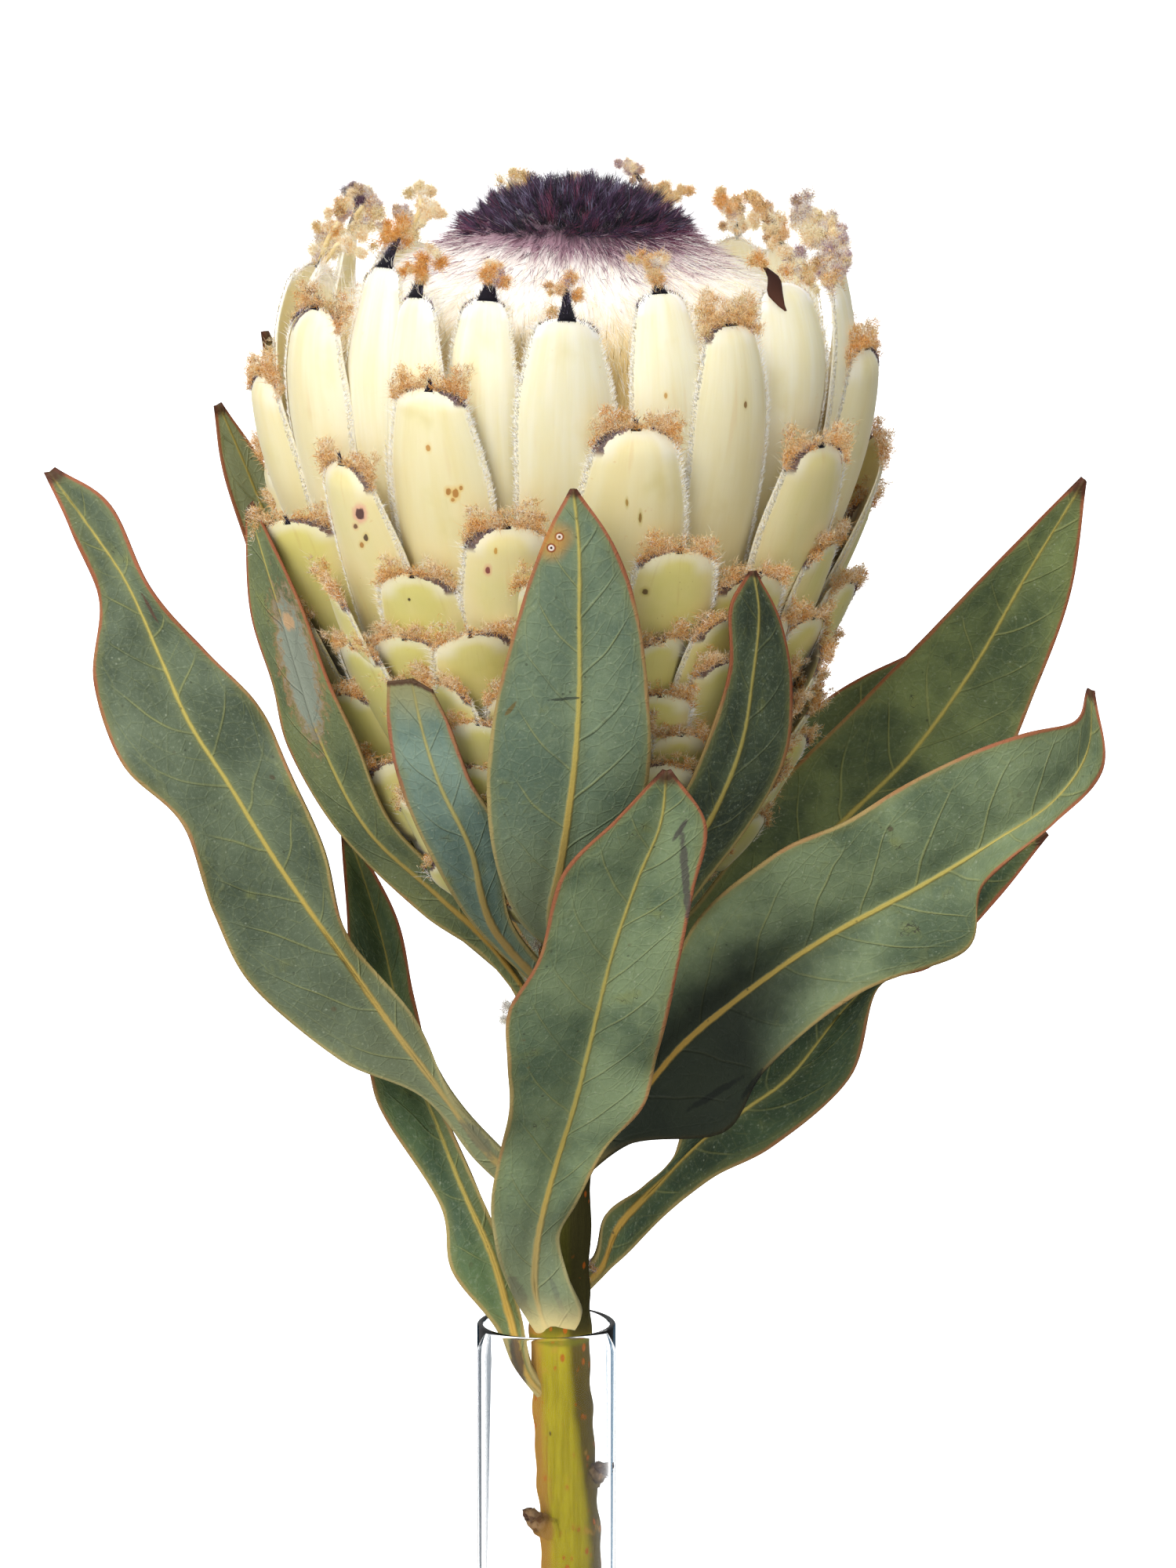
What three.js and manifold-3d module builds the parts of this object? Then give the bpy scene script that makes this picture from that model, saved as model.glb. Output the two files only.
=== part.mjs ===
// A cut protea flower with its leaves, standing in a narrow glass tube vase on a round foot.
// Millimetres, +Z up. The origin is the middle of the vase's underside, and the front faces -Y.
import * as THREE from "three";
import { mergeVertices } from "three/addons/utils/BufferGeometryUtils.js";
import Module from "manifold-3d";

const wasm = await Module();
wasm.setup();

// ---- driving dimensions ----

const TUBE_DIAMETER = 25;
const TUBE_WALL = 1.2;
const VASE_HEIGHT = 130;
const VASE_FLOOR = 12;
const FOOT_DIAMETER = 84;
const FOOT_RIM = 3.2;
const FOOT_EDGE = 1; // the rounding of the foot's outer edge
const FLOOR_CORNER = 1.3; // the rounding where the bore meets the floor
const LIP_ROUND = 0.5;
// From the foot up to the tube, as [distance outside the tube, height above the foot's rim].
const FOOT_CURVE = [
  [3.2, 3.6],
  [0.9, 6.6],
  [0, 11],
];

const STEM_RADIUS = 5.3;
const STEM_FOOT = 12.3; // the cut end rests on the vase's floor
const HEAD_X = 3.6; // the flower head's own axis stands a little right of the vase's
const HEAD_BASE = 203.7;
const SEAT_GAP = 0.3; // pieces that touch are this far apart

const BRACT_THICKNESS = 1.15;
const BRACT_COLUMNS = [-1, -0.4, 0.4, 1]; // across a bract, from its left edge to its right edge
const BRACT_TIP_SPAN = 0.9; // the share of a half circle that a bract's tip takes up
const BRACT_BASE_WIDTH = 4.4;
const BRACT_FULL_AT = 1.8; // the profile point where a bract has its full width
const BRACT_TIP_DROP = 0.7; // how far its shoulders lie under its tip, in profile points
const LAYER_PITCH = 1.7; // from one layer of bracts to the next
const CUP_LAYER = 8; // the receptacle's cup lies outside the layers of bracts
const LOBE_DEPTH = 7; // from a short bract's tip down to where it joins the next
const RING_COLUMNS = 80;
const ROW_STEP = 0.03; // the least distance between two rows of a bract, in profile points
const POST_RADIUS = 11.3; // the receptacle, which carries every bract
const POST_TOP = 29;
const POST_GAP = 0.7;
const FLORET_GAP = 1.2; // from the packed florets to the innermost bracts
const FLORET_FOOT_RADIUS = 15.5;
const LEAF_THICKNESS = 0.9;
const PETIOLE_THICKNESS = 2.4;
const PETIOLE_SHARE = 0.22; // the share of a leaf's length over which its stalk thins out
const LEAF_COLUMNS = [-1, -0.5, 0, 0.5, 1]; // from the left edge over the midrib to the right edge
const MARGIN_SHIFT = 1.6; // how far the waves of a leaf's right margin run ahead of the left one's
const ROUND_SIDES = 40;
const FLORET_SIDES = 28;
const STEM_SIDES = 16;
const STUB_SIDES = 8;

// The innermost bracts' middle surface, as [radius, height above the head's base].
const HEAD_PROFILE = [
  [12, 24],
  [23, 33],
  [37, 56],
  [47, 83],
  [49.5, 103],
  [46.5, 118],
  [43, 129],
];

// The receptacle's underside, as [radius, height above the head's base].
const CUP_PROFILE = [
  [0, 0],
  [6.2, 0],
  [15, 3.4],
  [24, 9.6],
  [30.5, 17],
  [34.8, 24.6],
];
// The top of the packed florets, from the bracts up to the point of the dome, likewise.
const DOME_PROFILE = [
  [46, 96],
  [43, 106],
  [37, 113],
  [30, 118.5],
  [22, 123.5],
  [16, 129],
  [9, 133],
  [0, 134.5],
];

// ---- finishes ----

const material = (color, roughness) =>
  new THREE.MeshStandardMaterial({ color, roughness, metalness: 0 });
const GLASS = material(0xdfe9ee, 0.05);
GLASS.transparent = true;
GLASS.opacity = 0.35;
const STEM_SKIN = material(0x8f9430, 0.6);
const LEAF_GREEN = material(0x5d7560, 0.55);
const BRACT_CREAM = material(0xe9e3b4, 0.6);
const SCALE_GREEN = material(0xcfca7e, 0.65);
const FLORET_WOOL = material(0x4b3048, 0.9);

const flower = new THREE.Group();

function addPiece(name, geometry, finish, place = [0, 0, 0]) {
  const mesh = new THREE.Mesh(geometry, finish);
  mesh.name = name;
  mesh.position.set(...place);
  flower.add(mesh);
}

// ---- shared shapes ----

function bodyOf(points, faces) {
  const geometry = new THREE.BufferGeometry();
  geometry.setAttribute("position", new THREE.Float32BufferAttribute(points.flat(), 3));
  geometry.setIndex(faces);
  return geometry;
}

// A thin closed body between two grids of points. Rows run from the base up, columns from left to
// right as seen from the front grid's side. A wrapped grid's last column meets its first.
function sheet(front, back, wrapped = false) {
  const rows = front.length;
  const columns = front[0].length;
  const cells = wrapped ? columns : columns - 1;
  const faces = [];
  const quad = (a, b, c, d) => faces.push(a, b, c, a, c, d);
  const f = (i, j) => i * columns + (j % columns);
  const b = (i, j) => rows * columns + f(i, j);
  for (let i = 0; i < rows - 1; i++) {
    for (let j = 0; j < cells; j++) {
      quad(f(i, j), f(i, j + 1), f(i + 1, j + 1), f(i + 1, j));
      quad(b(i, j), b(i + 1, j), b(i + 1, j + 1), b(i, j + 1));
    }
  }
  const top = rows - 1;
  for (let j = 0; j < cells; j++) {
    quad(f(0, j), b(0, j), b(0, j + 1), f(0, j + 1));
    quad(f(top, j), f(top, j + 1), b(top, j + 1), b(top, j));
  }
  for (let i = 0; i < rows - 1 && !wrapped; i++) {
    quad(f(i, 0), f(i + 1, 0), b(i + 1, 0), b(i, 0));
    quad(f(i, cells), b(i, cells), b(i + 1, cells), f(i + 1, cells));
  }
  return bodyOf([...front.flat(), ...back.flat()], faces);
}

// A round rod through [x, y, z, radius] points. Its rings are square to the line between its ends.
function rod(stations, sides) {
  const places = stations.map(([x, y, z]) => new THREE.Vector3(x, y, z));
  const along = places.at(-1).clone().sub(places[0]).normalize();
  const across = new THREE.Vector3(0, 1, 0).cross(along).normalize();
  const upright = along.clone().cross(across);
  const points = [];
  stations.forEach(([, , , radius], i) => {
    for (let k = 0; k < sides; k++) {
      const turn = (2 * Math.PI * k) / sides;
      const p = places[i].clone();
      p.addScaledVector(across, radius * Math.cos(turn));
      p.addScaledVector(upright, radius * Math.sin(turn));
      points.push(p.toArray());
    }
  });
  const faces = [];
  const last = (stations.length - 1) * sides;
  for (let k = 0; k < sides; k++) {
    const next = (k + 1) % sides;
    for (let ring = 0; ring < last; ring += sides) {
      faces.push(ring + k, ring + next, ring + sides + next);
      faces.push(ring + k, ring + sides + next, ring + sides + k);
    }
    if (k > 0 && next > 0) {
      faces.push(0, next, k);
      faces.push(last, last + k, last + next);
    }
  }
  return bodyOf(points, faces);
}

// A body turned about +Z through [radius, height] points that start and end on the axis.
function turned(profile, sides) {
  const points = profile.map(([r, z]) => new THREE.Vector2(r, z));
  return new THREE.LatheGeometry(points, sides).rotateX(Math.PI / 2);
}

function toSolid(geometry) {
  const bare = new THREE.BufferGeometry();
  bare.setAttribute("position", geometry.getAttribute("position"));
  bare.setIndex(geometry.index);
  const merged = mergeVertices(bare, 1e-3);
  const vertProperties = merged.attributes.position.array;
  const triVerts = new Uint32Array(merged.index.array);
  return new wasm.Manifold(new wasm.Mesh({ numProp: 3, vertProperties, triVerts }));
}

function toGeometry(solid) {
  const mesh = solid.getMesh();
  const geometry = new THREE.BufferGeometry();
  geometry.setAttribute("position", new THREE.BufferAttribute(mesh.vertProperties, 3));
  geometry.setIndex(new THREE.BufferAttribute(mesh.triVerts, 1));
  return geometry;
}

const joined = (...geometries) =>
  toGeometry(geometries.map(toSolid).reduce((whole, one) => whole.add(one)));

const mix = (a, b, t) => a + (b - a) * t;
const radians = (degrees) => (degrees * Math.PI) / 180;

// ---- the vase: a clear tube with a thick floor, drawn out into a round foot ----

function vase() {
  const outer = TUBE_DIAMETER / 2;
  const inner = outer - TUBE_WALL;
  const foot = FOOT_DIAMETER / 2;
  return turned(
    [
      [0, 0],
      [foot - FOOT_EDGE, 0],
      [foot, FOOT_EDGE],
      [foot, FOOT_RIM - FOOT_EDGE],
      [foot - FOOT_EDGE, FOOT_RIM],
      [foot / 2, FOOT_RIM + FOOT_CURVE[0][1] / 2],
      ...FOOT_CURVE.map(([outside, above]) => [outer + outside, FOOT_RIM + above]),
      [outer, VASE_HEIGHT - LIP_ROUND],
      [outer - TUBE_WALL / 2, VASE_HEIGHT],
      [inner, VASE_HEIGHT - LIP_ROUND],
      [inner, VASE_FLOOR + FLOOR_CORNER],
      [inner - FLOOR_CORNER, VASE_FLOOR],
      [0, VASE_FLOOR],
    ],
    ROUND_SIDES,
  );
}

// ---- the stem ----

// [x, y, z, radius] of the stem's middle, from the cut end up to the flower head.
const STEM = [
  [3.4, 0, STEM_FOOT, STEM_RADIUS],
  [4.4, 0, 60, STEM_RADIUS],
  [4.4, 0.5, 86, STEM_RADIUS],
  [3.4, 1, 105, STEM_RADIUS],
  [2.7, 1, 121, STEM_RADIUS],
  [2.6, 1, 139, STEM_RADIUS],
  [3.1, 1, 164, STEM_RADIUS - 0.3],
  [HEAD_X, 0.5, 190, STEM_RADIUS - 0.6],
  [HEAD_X, 0, HEAD_BASE - SEAT_GAP, STEM_RADIUS],
];
// Stubs of leaves that were picked off, and a small dry bud in a leaf's axil.
const STEM_STUBS = [
  [
    [4, 0, 100, 2.6],
    [8.6, -1.2, 101.8, 2.2],
    [10.3, -1.6, 103.4, 1.1],
  ],
  [
    [4.4, -0.5, 92, 2.6],
    [-0.6, -3, 92.8, 2.2],
    [-3.4, -4.2, 95, 1.3],
  ],
  [
    [3, 0, 184, 1.2],
    [-2.6, -0.4, 185.8, 1.2],
    [-4.6, -0.5, 187.2, 2],
    [-6.2, -0.5, 188.4, 1.2],
  ],
];

function stem() {
  return joined(rod(STEM, STEM_SIDES), ...STEM_STUBS.map((stub) => rod(stub, STUB_SIDES)));
}

const fatStations = STEM.map(([x, y, z, radius]) => [x, y, z, radius + SEAT_GAP]);
const fatStem = toSolid(rod(fatStations, STEM_SIDES));

// ---- the leaves ----

// Each leaf from its base on the stem to its tip: the midrib's [x, y, z], and the [x, z] where its
// left and right edges lie as seen from the front. slope is how far the blade turns away in depth
// for each millimetre across, at the base and at the tip. fold lifts the edges towards the front.
// ruffle is the height of the margin's waves.
const LEAVES = {
  leaf_left_large: {
    rib: [
      [3, 1, 148], [-10, -3, 162], [-18, -6, 173], [-27, -9, 186], [-37, -11, 201], [-47, -12, 216],
      [-56, -12, 231], [-63, -11, 242], [-68, -9, 253], [-74, -6, 266], [-81, -3, 276], [-88, 0, 285],
    ],
    left: [
      [2, 147], [-12, 160], [-22, 173], [-37, 181], [-52, 194], [-59, 208],
      [-64, 224], [-75, 235], [-80, 249], [-79, 263], [-84, 275], [-89, 285],
    ],
    right: [
      [4, 150], [-9, 164], [-17, 174], [-24, 189], [-35, 203], [-39, 220],
      [-45, 234], [-51, 246], [-60, 255], [-70, 266], [-77, 280], [-87, 286],
    ],
    slope: [-0.2, -0.1], fold: 0.25, ruffle: 2.4, waves: 3, phase: 0.1,
  },
  leaf_left_low: {
    rib: [
      [2, 0, 114], [-4, -2, 122], [-6.5, -2, 131], [-10, -1, 143], [-15, 2, 154],
      [-20, 5, 166], [-24, 8, 175], [-27, 11, 186], [-30, 13, 199], [-36, 15, 218],
    ],
    left: [
      [1, 113], [-5.6, 122], [-9.3, 130], [-17, 140], [-19, 151],
      [-29, 167], [-32, 176], [-35, 190], [-36, 205], [-37, 217],
    ],
    right: [
      [3, 115], [-2.4, 122], [-4.6, 132], [-8, 144], [-13, 156],
      [-18, 167], [-21, 176], [-24, 188], [-27, 202], [-35.5, 218],
    ],
    slope: [0, 0.2], fold: 0.15, ruffle: 1, waves: 2, phase: 0.4,
  },
  leaf_left_hugging: {
    rib: [
      [3, 0, 178], [-9, -9, 200], [-19, -16, 212], [-31, -23, 225],
      [-39, -26, 241], [-43, -25, 253], [-47, -22, 266], [-52, -18, 282],
    ],
    left: [
      [3, 176], [-9, 197], [-22, 208], [-36, 223], [-45, 238], [-48, 250], [-52, 263], [-52.6, 281],
    ],
    right: [
      [3, 180], [-9, 202.6], [-16, 214], [-27, 227], [-33, 243], [-38, 254], [-43, 267], [-51.4, 283],
    ],
    slope: [-0.6, -1.9], fold: 0, ruffle: 0.8, waves: 2, phase: 0,
  },
  leaf_left_small: {
    rib: [[3, -1, 190], [-9, -19, 206.5], [-13, -34, 224], [-18, -40, 236], [-21, -43, 246], [-23, -45, 256]],
    left: [[1.4, 189.5], [-12, 206], [-20, 222], [-25, 235], [-27.2, 246], [-27.3, 255.2]],
    right: [[4.6, 190.5], [-6, 208], [-8, 227], [-13, 238], [-16.5, 248], [-19.5, 254.5]],
    slope: [-0.3, -0.6], fold: 0.1, ruffle: 0.5, waves: 2, phase: 0.2,
  },
  leaf_front_centre: {
    rib: [
      [3.6, -1, 198], [1, -26, 210], [3, -40, 224], [5, -48, 240],
      [6, -53, 255], [6, -57, 269], [6, -60, 281], [5, -61, 292],
    ],
    left: [[2, 198], [-5, 210], [-9, 224], [-10, 239], [-8, 255], [-4, 271], [0, 283], [4.4, 292]],
    right: [[5, 198], [9, 209], [14, 224], [18, 239], [18, 254], [16, 270], [12, 282], [5.6, 292]],
    slope: [0, 0], fold: -0.06, ruffle: 0.7, waves: 2, phase: 0.3,
  },
  leaf_front_low: {
    rib: [
      [1, -1, 127.5], [-1.4, -5, 134.4], [-2.1, -9, 140.9], [-1.5, -13, 148.5], [-0.1, -17, 156.1],
      [2.6, -21.5, 166.8], [5.2, -27.5, 176.8], [7.2, -32.5, 186], [9.5, -38, 197], [12, -43, 208],
      [16, -48, 221], [20, -53, 232], [21, -57, 242],
    ],
    left: [
      [-1.5, 128.4], [-3.9, 132.6], [-7.2, 140.4], [-9.2, 148.8], [-9.7, 157.2], [-8, 167.3], [-6.3, 176.8],
      [-6.6, 186], [-6.5, 196], [-1, 207], [3, 223], [12, 233], [20.4, 242.4],
    ],
    right: [
      [4.4, 128], [6.4, 133.6], [4, 140.9], [2.4, 149], [5.4, 156], [10.5, 167.5], [17.4, 177],
      [19.5, 186], [21.6, 195.5], [24, 209], [26, 220], [28, 232], [21.8, 242.4],
    ],
    slope: [0, 0.1], fold: 0.25, ruffle: 2, waves: 3, phase: 0.2,
  },
  leaf_right_hugging: {
    rib: [
      [4, -1, 183], [15, -21, 205], [22, -32, 218], [29, -36, 230],
      [34, -39, 243], [36, -42, 256], [37, -44, 267], [36, -45, 275],
    ],
    left: [[2, 185], [12, 208], [17, 222], [24, 234], [29, 247], [32, 258], [32, 269], [35.4, 275]],
    right: [[6, 182], [19, 202], [27, 215], [36, 228], [42, 240], [43, 253], [41, 265], [36.6, 275]],
    slope: [0.5, 0.9], fold: -0.06, ruffle: 0.7, waves: 2, phase: 0.5,
  },
  leaf_right_upper: {
    rib: [
      [4, 1, 179], [19, 6, 190], [31, 11, 199], [44, 15, 210], [56, 18, 221],
      [66, 19, 231], [77, 18, 247], [86, 15, 264], [96, 10, 282],
    ],
    left: [
      [2, 181], [15, 194], [26, 204], [36, 217], [44, 228], [55, 239], [67, 252], [79, 265], [95.4, 282.6],
    ],
    right: [
      [6, 177], [23, 186], [39, 193], [55, 203], [70, 215], [81, 227], [88, 243], [94, 261], [96.4, 281.6],
    ],
    slope: [0.1, 0.1], fold: 0.2, ruffle: 2, waves: 2, phase: 0.1,
  },
  leaf_right_front: {
    rib: [
      [4, 1, 157], [14, -8, 170], [24, -14, 184], [37, -19, 196], [50, -23, 206],
      [65, -26, 215], [79, -28, 224], [89, -28, 231], [95, -24, 239], [96, -18, 249],
    ],
    left: [
      [2, 159], [10, 177], [20, 193], [27, 209], [40, 222],
      [54, 229], [69, 238], [83, 244], [93, 245], [95.5, 249.5],
    ],
    right: [
      [5, 155], [15, 165], [32, 169], [39, 182], [55, 196],
      [74, 204], [77, 217], [89, 227], [98, 236], [96.8, 249],
    ],
    slope: [0.1, 0.1], fold: 0.25, ruffle: 2.2, waves: 3, phase: 0.35,
  },
  leaf_right_low: {
    rib: [
      [3, 1, 134], [9.3, 2, 139.4], [13.1, 4, 146.9], [19.6, 8, 153.2], [27.8, 11, 161], [36, 13, 166.5],
      [44, 15, 172], [54, 17, 184], [66, 18, 196], [78, 17, 208], [90, 14, 217],
    ],
    left: [
      [1, 136], [8.4, 141.5], [10.6, 149], [17.2, 152.9], [22.6, 157.5], [26, 168],
      [34, 183], [46, 193], [60, 206], [75, 214], [89.4, 217.6],
    ],
    right: [
      [5, 132.6], [10.4, 138.3], [14.8, 142], [22, 148.5], [30, 154.5], [41, 160],
      [55, 172], [60, 188], [70, 192], [81, 204], [90.4, 216.6],
    ],
    slope: [0.1, 0.1], fold: 0.2, ruffle: 1.4, waves: 2, phase: 0.6,
  },
  leaf_back_left: {
    rib: [
      [3, 2, 187], [-10, 14, 198], [-24, 24, 210], [-33, 30, 223], [-40, 33, 237],
      [-45, 34, 251], [-49, 33, 266], [-54, 30, 280], [-59, 26, 293],
    ],
    left: [
      [2, 185], [-12, 195], [-27, 206], [-40, 220], [-46, 234],
      [-49, 248], [-53, 264], [-58, 281], [-59.6, 293],
    ],
    right: [
      [4, 189], [-7, 200], [-19, 213], [-28, 226], [-34, 240],
      [-39, 253], [-44, 268], [-51, 281], [-58.4, 293.4],
    ],
    slope: [0.8, 1.2], fold: 0.1, ruffle: 1.2, waves: 2, phase: 0.3,
  },
  leaf_back_tall: {
    rib: [
      [4, 3, 184], [-5, 30, 194], [-15, 45, 208], [-24, 52, 226],
      [-32, 54, 245], [-39, 52, 264], [-45, 48, 283], [-51, 42, 304],
    ],
    left: [[2, 184], [-10, 194], [-21, 208], [-31, 225], [-38, 244], [-45, 263], [-49, 284], [-51.6, 304]],
    right: [[5, 183], [-1, 194], [-9, 209], [-17, 226], [-25, 245], [-33, 264], [-40, 283], [-50.4, 304]],
    slope: [0.6, 1], fold: 0, ruffle: 1, waves: 2, phase: 0.7,
  },
  leaf_back_right: {
    rib: [
      [4, 3, 174], [16, 26, 184], [28, 44, 195], [38, 54, 206], [48, 58, 219], [58, 58, 231], [67, 54, 242],
    ],
    left: [[2, 175], [12, 188], [22, 198], [31, 210], [41, 223], [53, 234], [66.4, 242.4]],
    right: [[6, 172], [21, 182], [34, 193], [45, 203], [55, 216], [63, 229], [67.6, 241.6]],
    slope: [-0.6, -0.8], fold: 0.1, ruffle: 1.5, waves: 2, phase: 0.2,
  },
  leaf_back_low: {
    rib: [[3, 3, 165], [5, 30, 173], [7, 50, 184], [8, 62, 196], [8, 68, 211], [6, 70, 227], [6, 70, 240]],
    left: [[1, 165], [0, 174], [-2, 184], [-3, 197], [-2, 212], [0, 227], [5.4, 240]],
    right: [[5, 165], [11, 173], [17, 183], [19, 195], [18, 210], [13, 226], [6.6, 240]],
    slope: [0, 0], fold: -0.1, ruffle: 1.2, waves: 2, phase: 0.5,
  },
};

// A point of a leaf's blade. Stations run from base to tip, and u from -1 at the left edge to 1.
function onBlade(leaf, station, u) {
  const s = station / (leaf.rib.length - 1);
  const [x, y, z] = leaf.rib[station];
  const [edgeX, edgeZ] = (u < 0 ? leaf.left : leaf.right)[station];
  const width = Math.hypot(edgeX - x, edgeZ - z);
  const ahead = u < 0 ? 0 : MARGIN_SHIFT;
  const wave = Math.sin(2 * Math.PI * (leaf.waves * s + leaf.phase) + ahead);
  const leant = mix(leaf.slope[0], leaf.slope[1], s) * (edgeX - x);
  const ruffled = leaf.ruffle * wave * Math.sin(Math.PI * s);
  const share = Math.abs(u);
  const depth = leant * share - leaf.fold * width * share + ruffled * share * share;
  return new THREE.Vector3(mix(x, edgeX, share), y + depth, mix(z, edgeZ, share));
}

function leafShape(leaf) {
  const grid = leaf.rib.map((_, station) => LEAF_COLUMNS.map((u) => onBlade(leaf, station, u)));
  const edge = LEAF_COLUMNS.length - 1;
  const front = [];
  const back = [];
  grid.forEach((row, i) => {
    const s = i / (grid.length - 1);
    const half = mix(PETIOLE_THICKNESS, LEAF_THICKNESS, Math.min(1, s / PETIOLE_SHARE)) / 2;
    const below = grid[Math.max(i - 1, 0)];
    const above = grid[Math.min(i + 1, grid.length - 1)];
    const normals = row.map((_, j) => {
      const sideways = row[Math.min(j + 1, edge)].clone().sub(row[Math.max(j - 1, 0)]);
      const upwards = above[j].clone().sub(below[j]);
      return sideways.cross(upwards).normalize();
    });
    front.push(row.map((p, j) => p.clone().addScaledVector(normals[j], half).toArray()));
    back.push(row.map((p, j) => p.clone().addScaledVector(normals[j], -half).toArray()));
  });
  return toGeometry(toSolid(sheet(front, back)).subtract(fatStem));
}

// ---- the flower head ----

// A point on a layer of the head, off the innermost layer's surface. t counts along the profile's
// points, and below 0 it runs on straight towards the receptacle.
function onProfile(t, offset) {
  const corner = (i) => {
    const [before, here, after] = [i - 1, i, i + 1].map(
      (k) => HEAD_PROFILE[Math.min(Math.max(k, 0), HEAD_PROFILE.length - 1)],
    );
    const into = Math.atan2(here[1] - before[1], here[0] - before[0]);
    const outOf = Math.atan2(after[1] - here[1], after[0] - here[0]);
    const start = i === 0 ? outOf : into;
    const end = i === HEAD_PROFILE.length - 1 ? into : outOf;
    const middle = (start + end) / 2;
    const reach = offset / Math.cos((end - start) / 2);
    return [here[0] + reach * Math.sin(middle), here[1] - reach * Math.cos(middle)];
  };
  const i = Math.min(Math.max(Math.floor(t), 0), HEAD_PROFILE.length - 2);
  const [a, b] = [corner(i), corner(i + 1)];
  return [mix(a[0], b[0], t - i), mix(a[1], b[1], t - i)];
}

// Where a layer's surface reaches a height or, with axis 0, a radius near the receptacle.
function whereOnProfile(offset, axis, value) {
  const last = HEAD_PROFILE.length - 1;
  let i = 0;
  while (axis === 1 && i < last - 1 && onProfile(i + 1, offset)[1] < value) i++;
  const low = onProfile(i, offset)[axis];
  const high = onProfile(i + 1, offset)[axis];
  return i + (value - low) / (high - low);
}

function onHead(azimuth, t, offset) {
  const [r, h] = onProfile(t, offset);
  return [r * Math.sin(azimuth), -r * Math.cos(azimuth), h];
}

// Rows of a wall that climbs one layer, as t for a column that ends at its own top. They lie at the
// profile's corners, and bunch up under the top of a column that is cut short.
function climb(layer, top, highest) {
  const rows = [whereOnProfile(layer * LAYER_PITCH, 0, POST_RADIUS + POST_GAP)];
  const corners = Math.ceil(highest) - 1;
  for (let i = 1; i <= corners; i++) rows.push(Math.min(i, top - (corners + 1 - i) * ROW_STEP));
  return [...rows, top];
}

// A wall on one layer of the head from columns of rows, which all have the same number of rows.
function headWall(columns, layer, wrapped) {
  const side = (offset) =>
    columns[0].rows.map((_, i) =>
      columns.map(({ rows, azimuth }) => onHead(azimuth(rows[i]), rows[i], offset)),
    );
  const middle = layer * LAYER_PITCH;
  const half = BRACT_THICKNESS / 2;
  return sheet(side(middle + half), side(middle - half), wrapped);
}

// One free bract: narrow where it leaves the receptacle, widest at mid height, with a round tip.
function bract(layer, degrees, tipHeight, width) {
  const middle = layer * LAYER_PITCH;
  const highest = whereOnProfile(middle, 1, tipHeight);
  const columns = BRACT_COLUMNS.map((u) => {
    const top = highest - (1 - Math.sqrt(1 - (BRACT_TIP_SPAN * u) ** 2)) * BRACT_TIP_DROP;
    const azimuth = (t) => {
      const fullness = Math.min(1, Math.max(0, t) / BRACT_FULL_AT);
      const halfWidth = mix(BRACT_BASE_WIDTH, width, fullness) / 2;
      return radians(degrees) + (u * halfWidth) / onProfile(t, middle)[0];
    };
    return { rows: climb(layer, top, highest), azimuth };
  });
  return headWall(columns, layer, false);
}

// A ring of short bracts that are grown together at their bases, with one lobe for each tip.
function scaleRing(layer, tips) {
  const halfPitch = 180 / tips.length;
  const columns = [];
  const middle = layer * LAYER_PITCH;
  const highest = whereOnProfile(middle, 1, Math.max(...tips.map(([, height]) => height)));
  for (let k = 0; k < RING_COLUMNS; k++) {
    const degrees = (360 * k) / RING_COLUMNS;
    const heights = tips.map(([lobe, height]) => {
      const away = Math.abs(((degrees - lobe + 540) % 360) - 180);
      return height - LOBE_DEPTH * Math.min(1, (away / halfPitch) ** 2);
    });
    const top = whereOnProfile(middle, 1, Math.max(...heights));
    columns.push({ rows: climb(layer, top, highest), azimuth: () => radians(degrees) });
  }
  return headWall(columns, layer, true);
}

// The receptacle: a post that carries the bracts, on a cup whose lip is the lowest row of scales.
function flowerBase() {
  const cupTop = CUP_LAYER * LAYER_PITCH - BRACT_THICKNESS / 2;
  return turned(
    [
      ...CUP_PROFILE,
      onProfile(2, cupTop),
      onProfile(1, cupTop),
      onProfile(whereOnProfile(cupTop, 0, POST_RADIUS), cupTop),
      [POST_RADIUS, POST_TOP],
      [0, POST_TOP],
    ],
    ROUND_SIDES,
  );
}

// The packed florets: a cone of wool inside the bracts that ends in the dark dome of styles.
function florets() {
  const inside = -BRACT_THICKNESS / 2 - FLORET_GAP;
  return turned(
    [
      [0, POST_TOP + SEAT_GAP],
      [FLORET_FOOT_RADIUS, POST_TOP + SEAT_GAP],
      onProfile(1, inside),
      onProfile(2, inside),
      onProfile(3, inside),
      ...DOME_PROFILE,
    ],
    FLORET_SIDES,
  );
}

// [azimuth in degrees from the front, tip height, width] of each free bract, one list for each layer.
const BRACTS = {
  bract_inner: [
    [-83, 120, 15], [-43, 123, 14], [-16.5, 119, 13], [22.5, 120, 14], [53, 119, 15],
    [89, 121, 14], [124, 118, 15], [160, 122, 14], [196, 120, 15], [235, 121, 14],
  ],
  bract_middle: [
    [-104, 118, 17], [-58, 114.5, 19.5], [-30, 119, 15], [0.5, 116, 18], [34, 114, 16],
    [72, 118, 17], [106, 121, 16], [142, 118, 17], [178, 120, 16], [214, 117, 17],
  ],
  bract_outer: [
    [-108, 98, 19], [-77, 101, 19.5], [-24.5, 104, 20], [13, 98, 20], [74, 106, 19],
    [110, 102, 20], [148, 105, 20], [186, 100, 20], [222, 106, 20],
  ],
  bract_low: [
    [-95, 84, 19], [-43, 90, 19], [-11, 81, 19], [53, 92, 19], [88, 88, 19],
    [124, 91, 19], [160, 86, 19], [196, 90, 19], [232, 85, 19],
  ],
};
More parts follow.
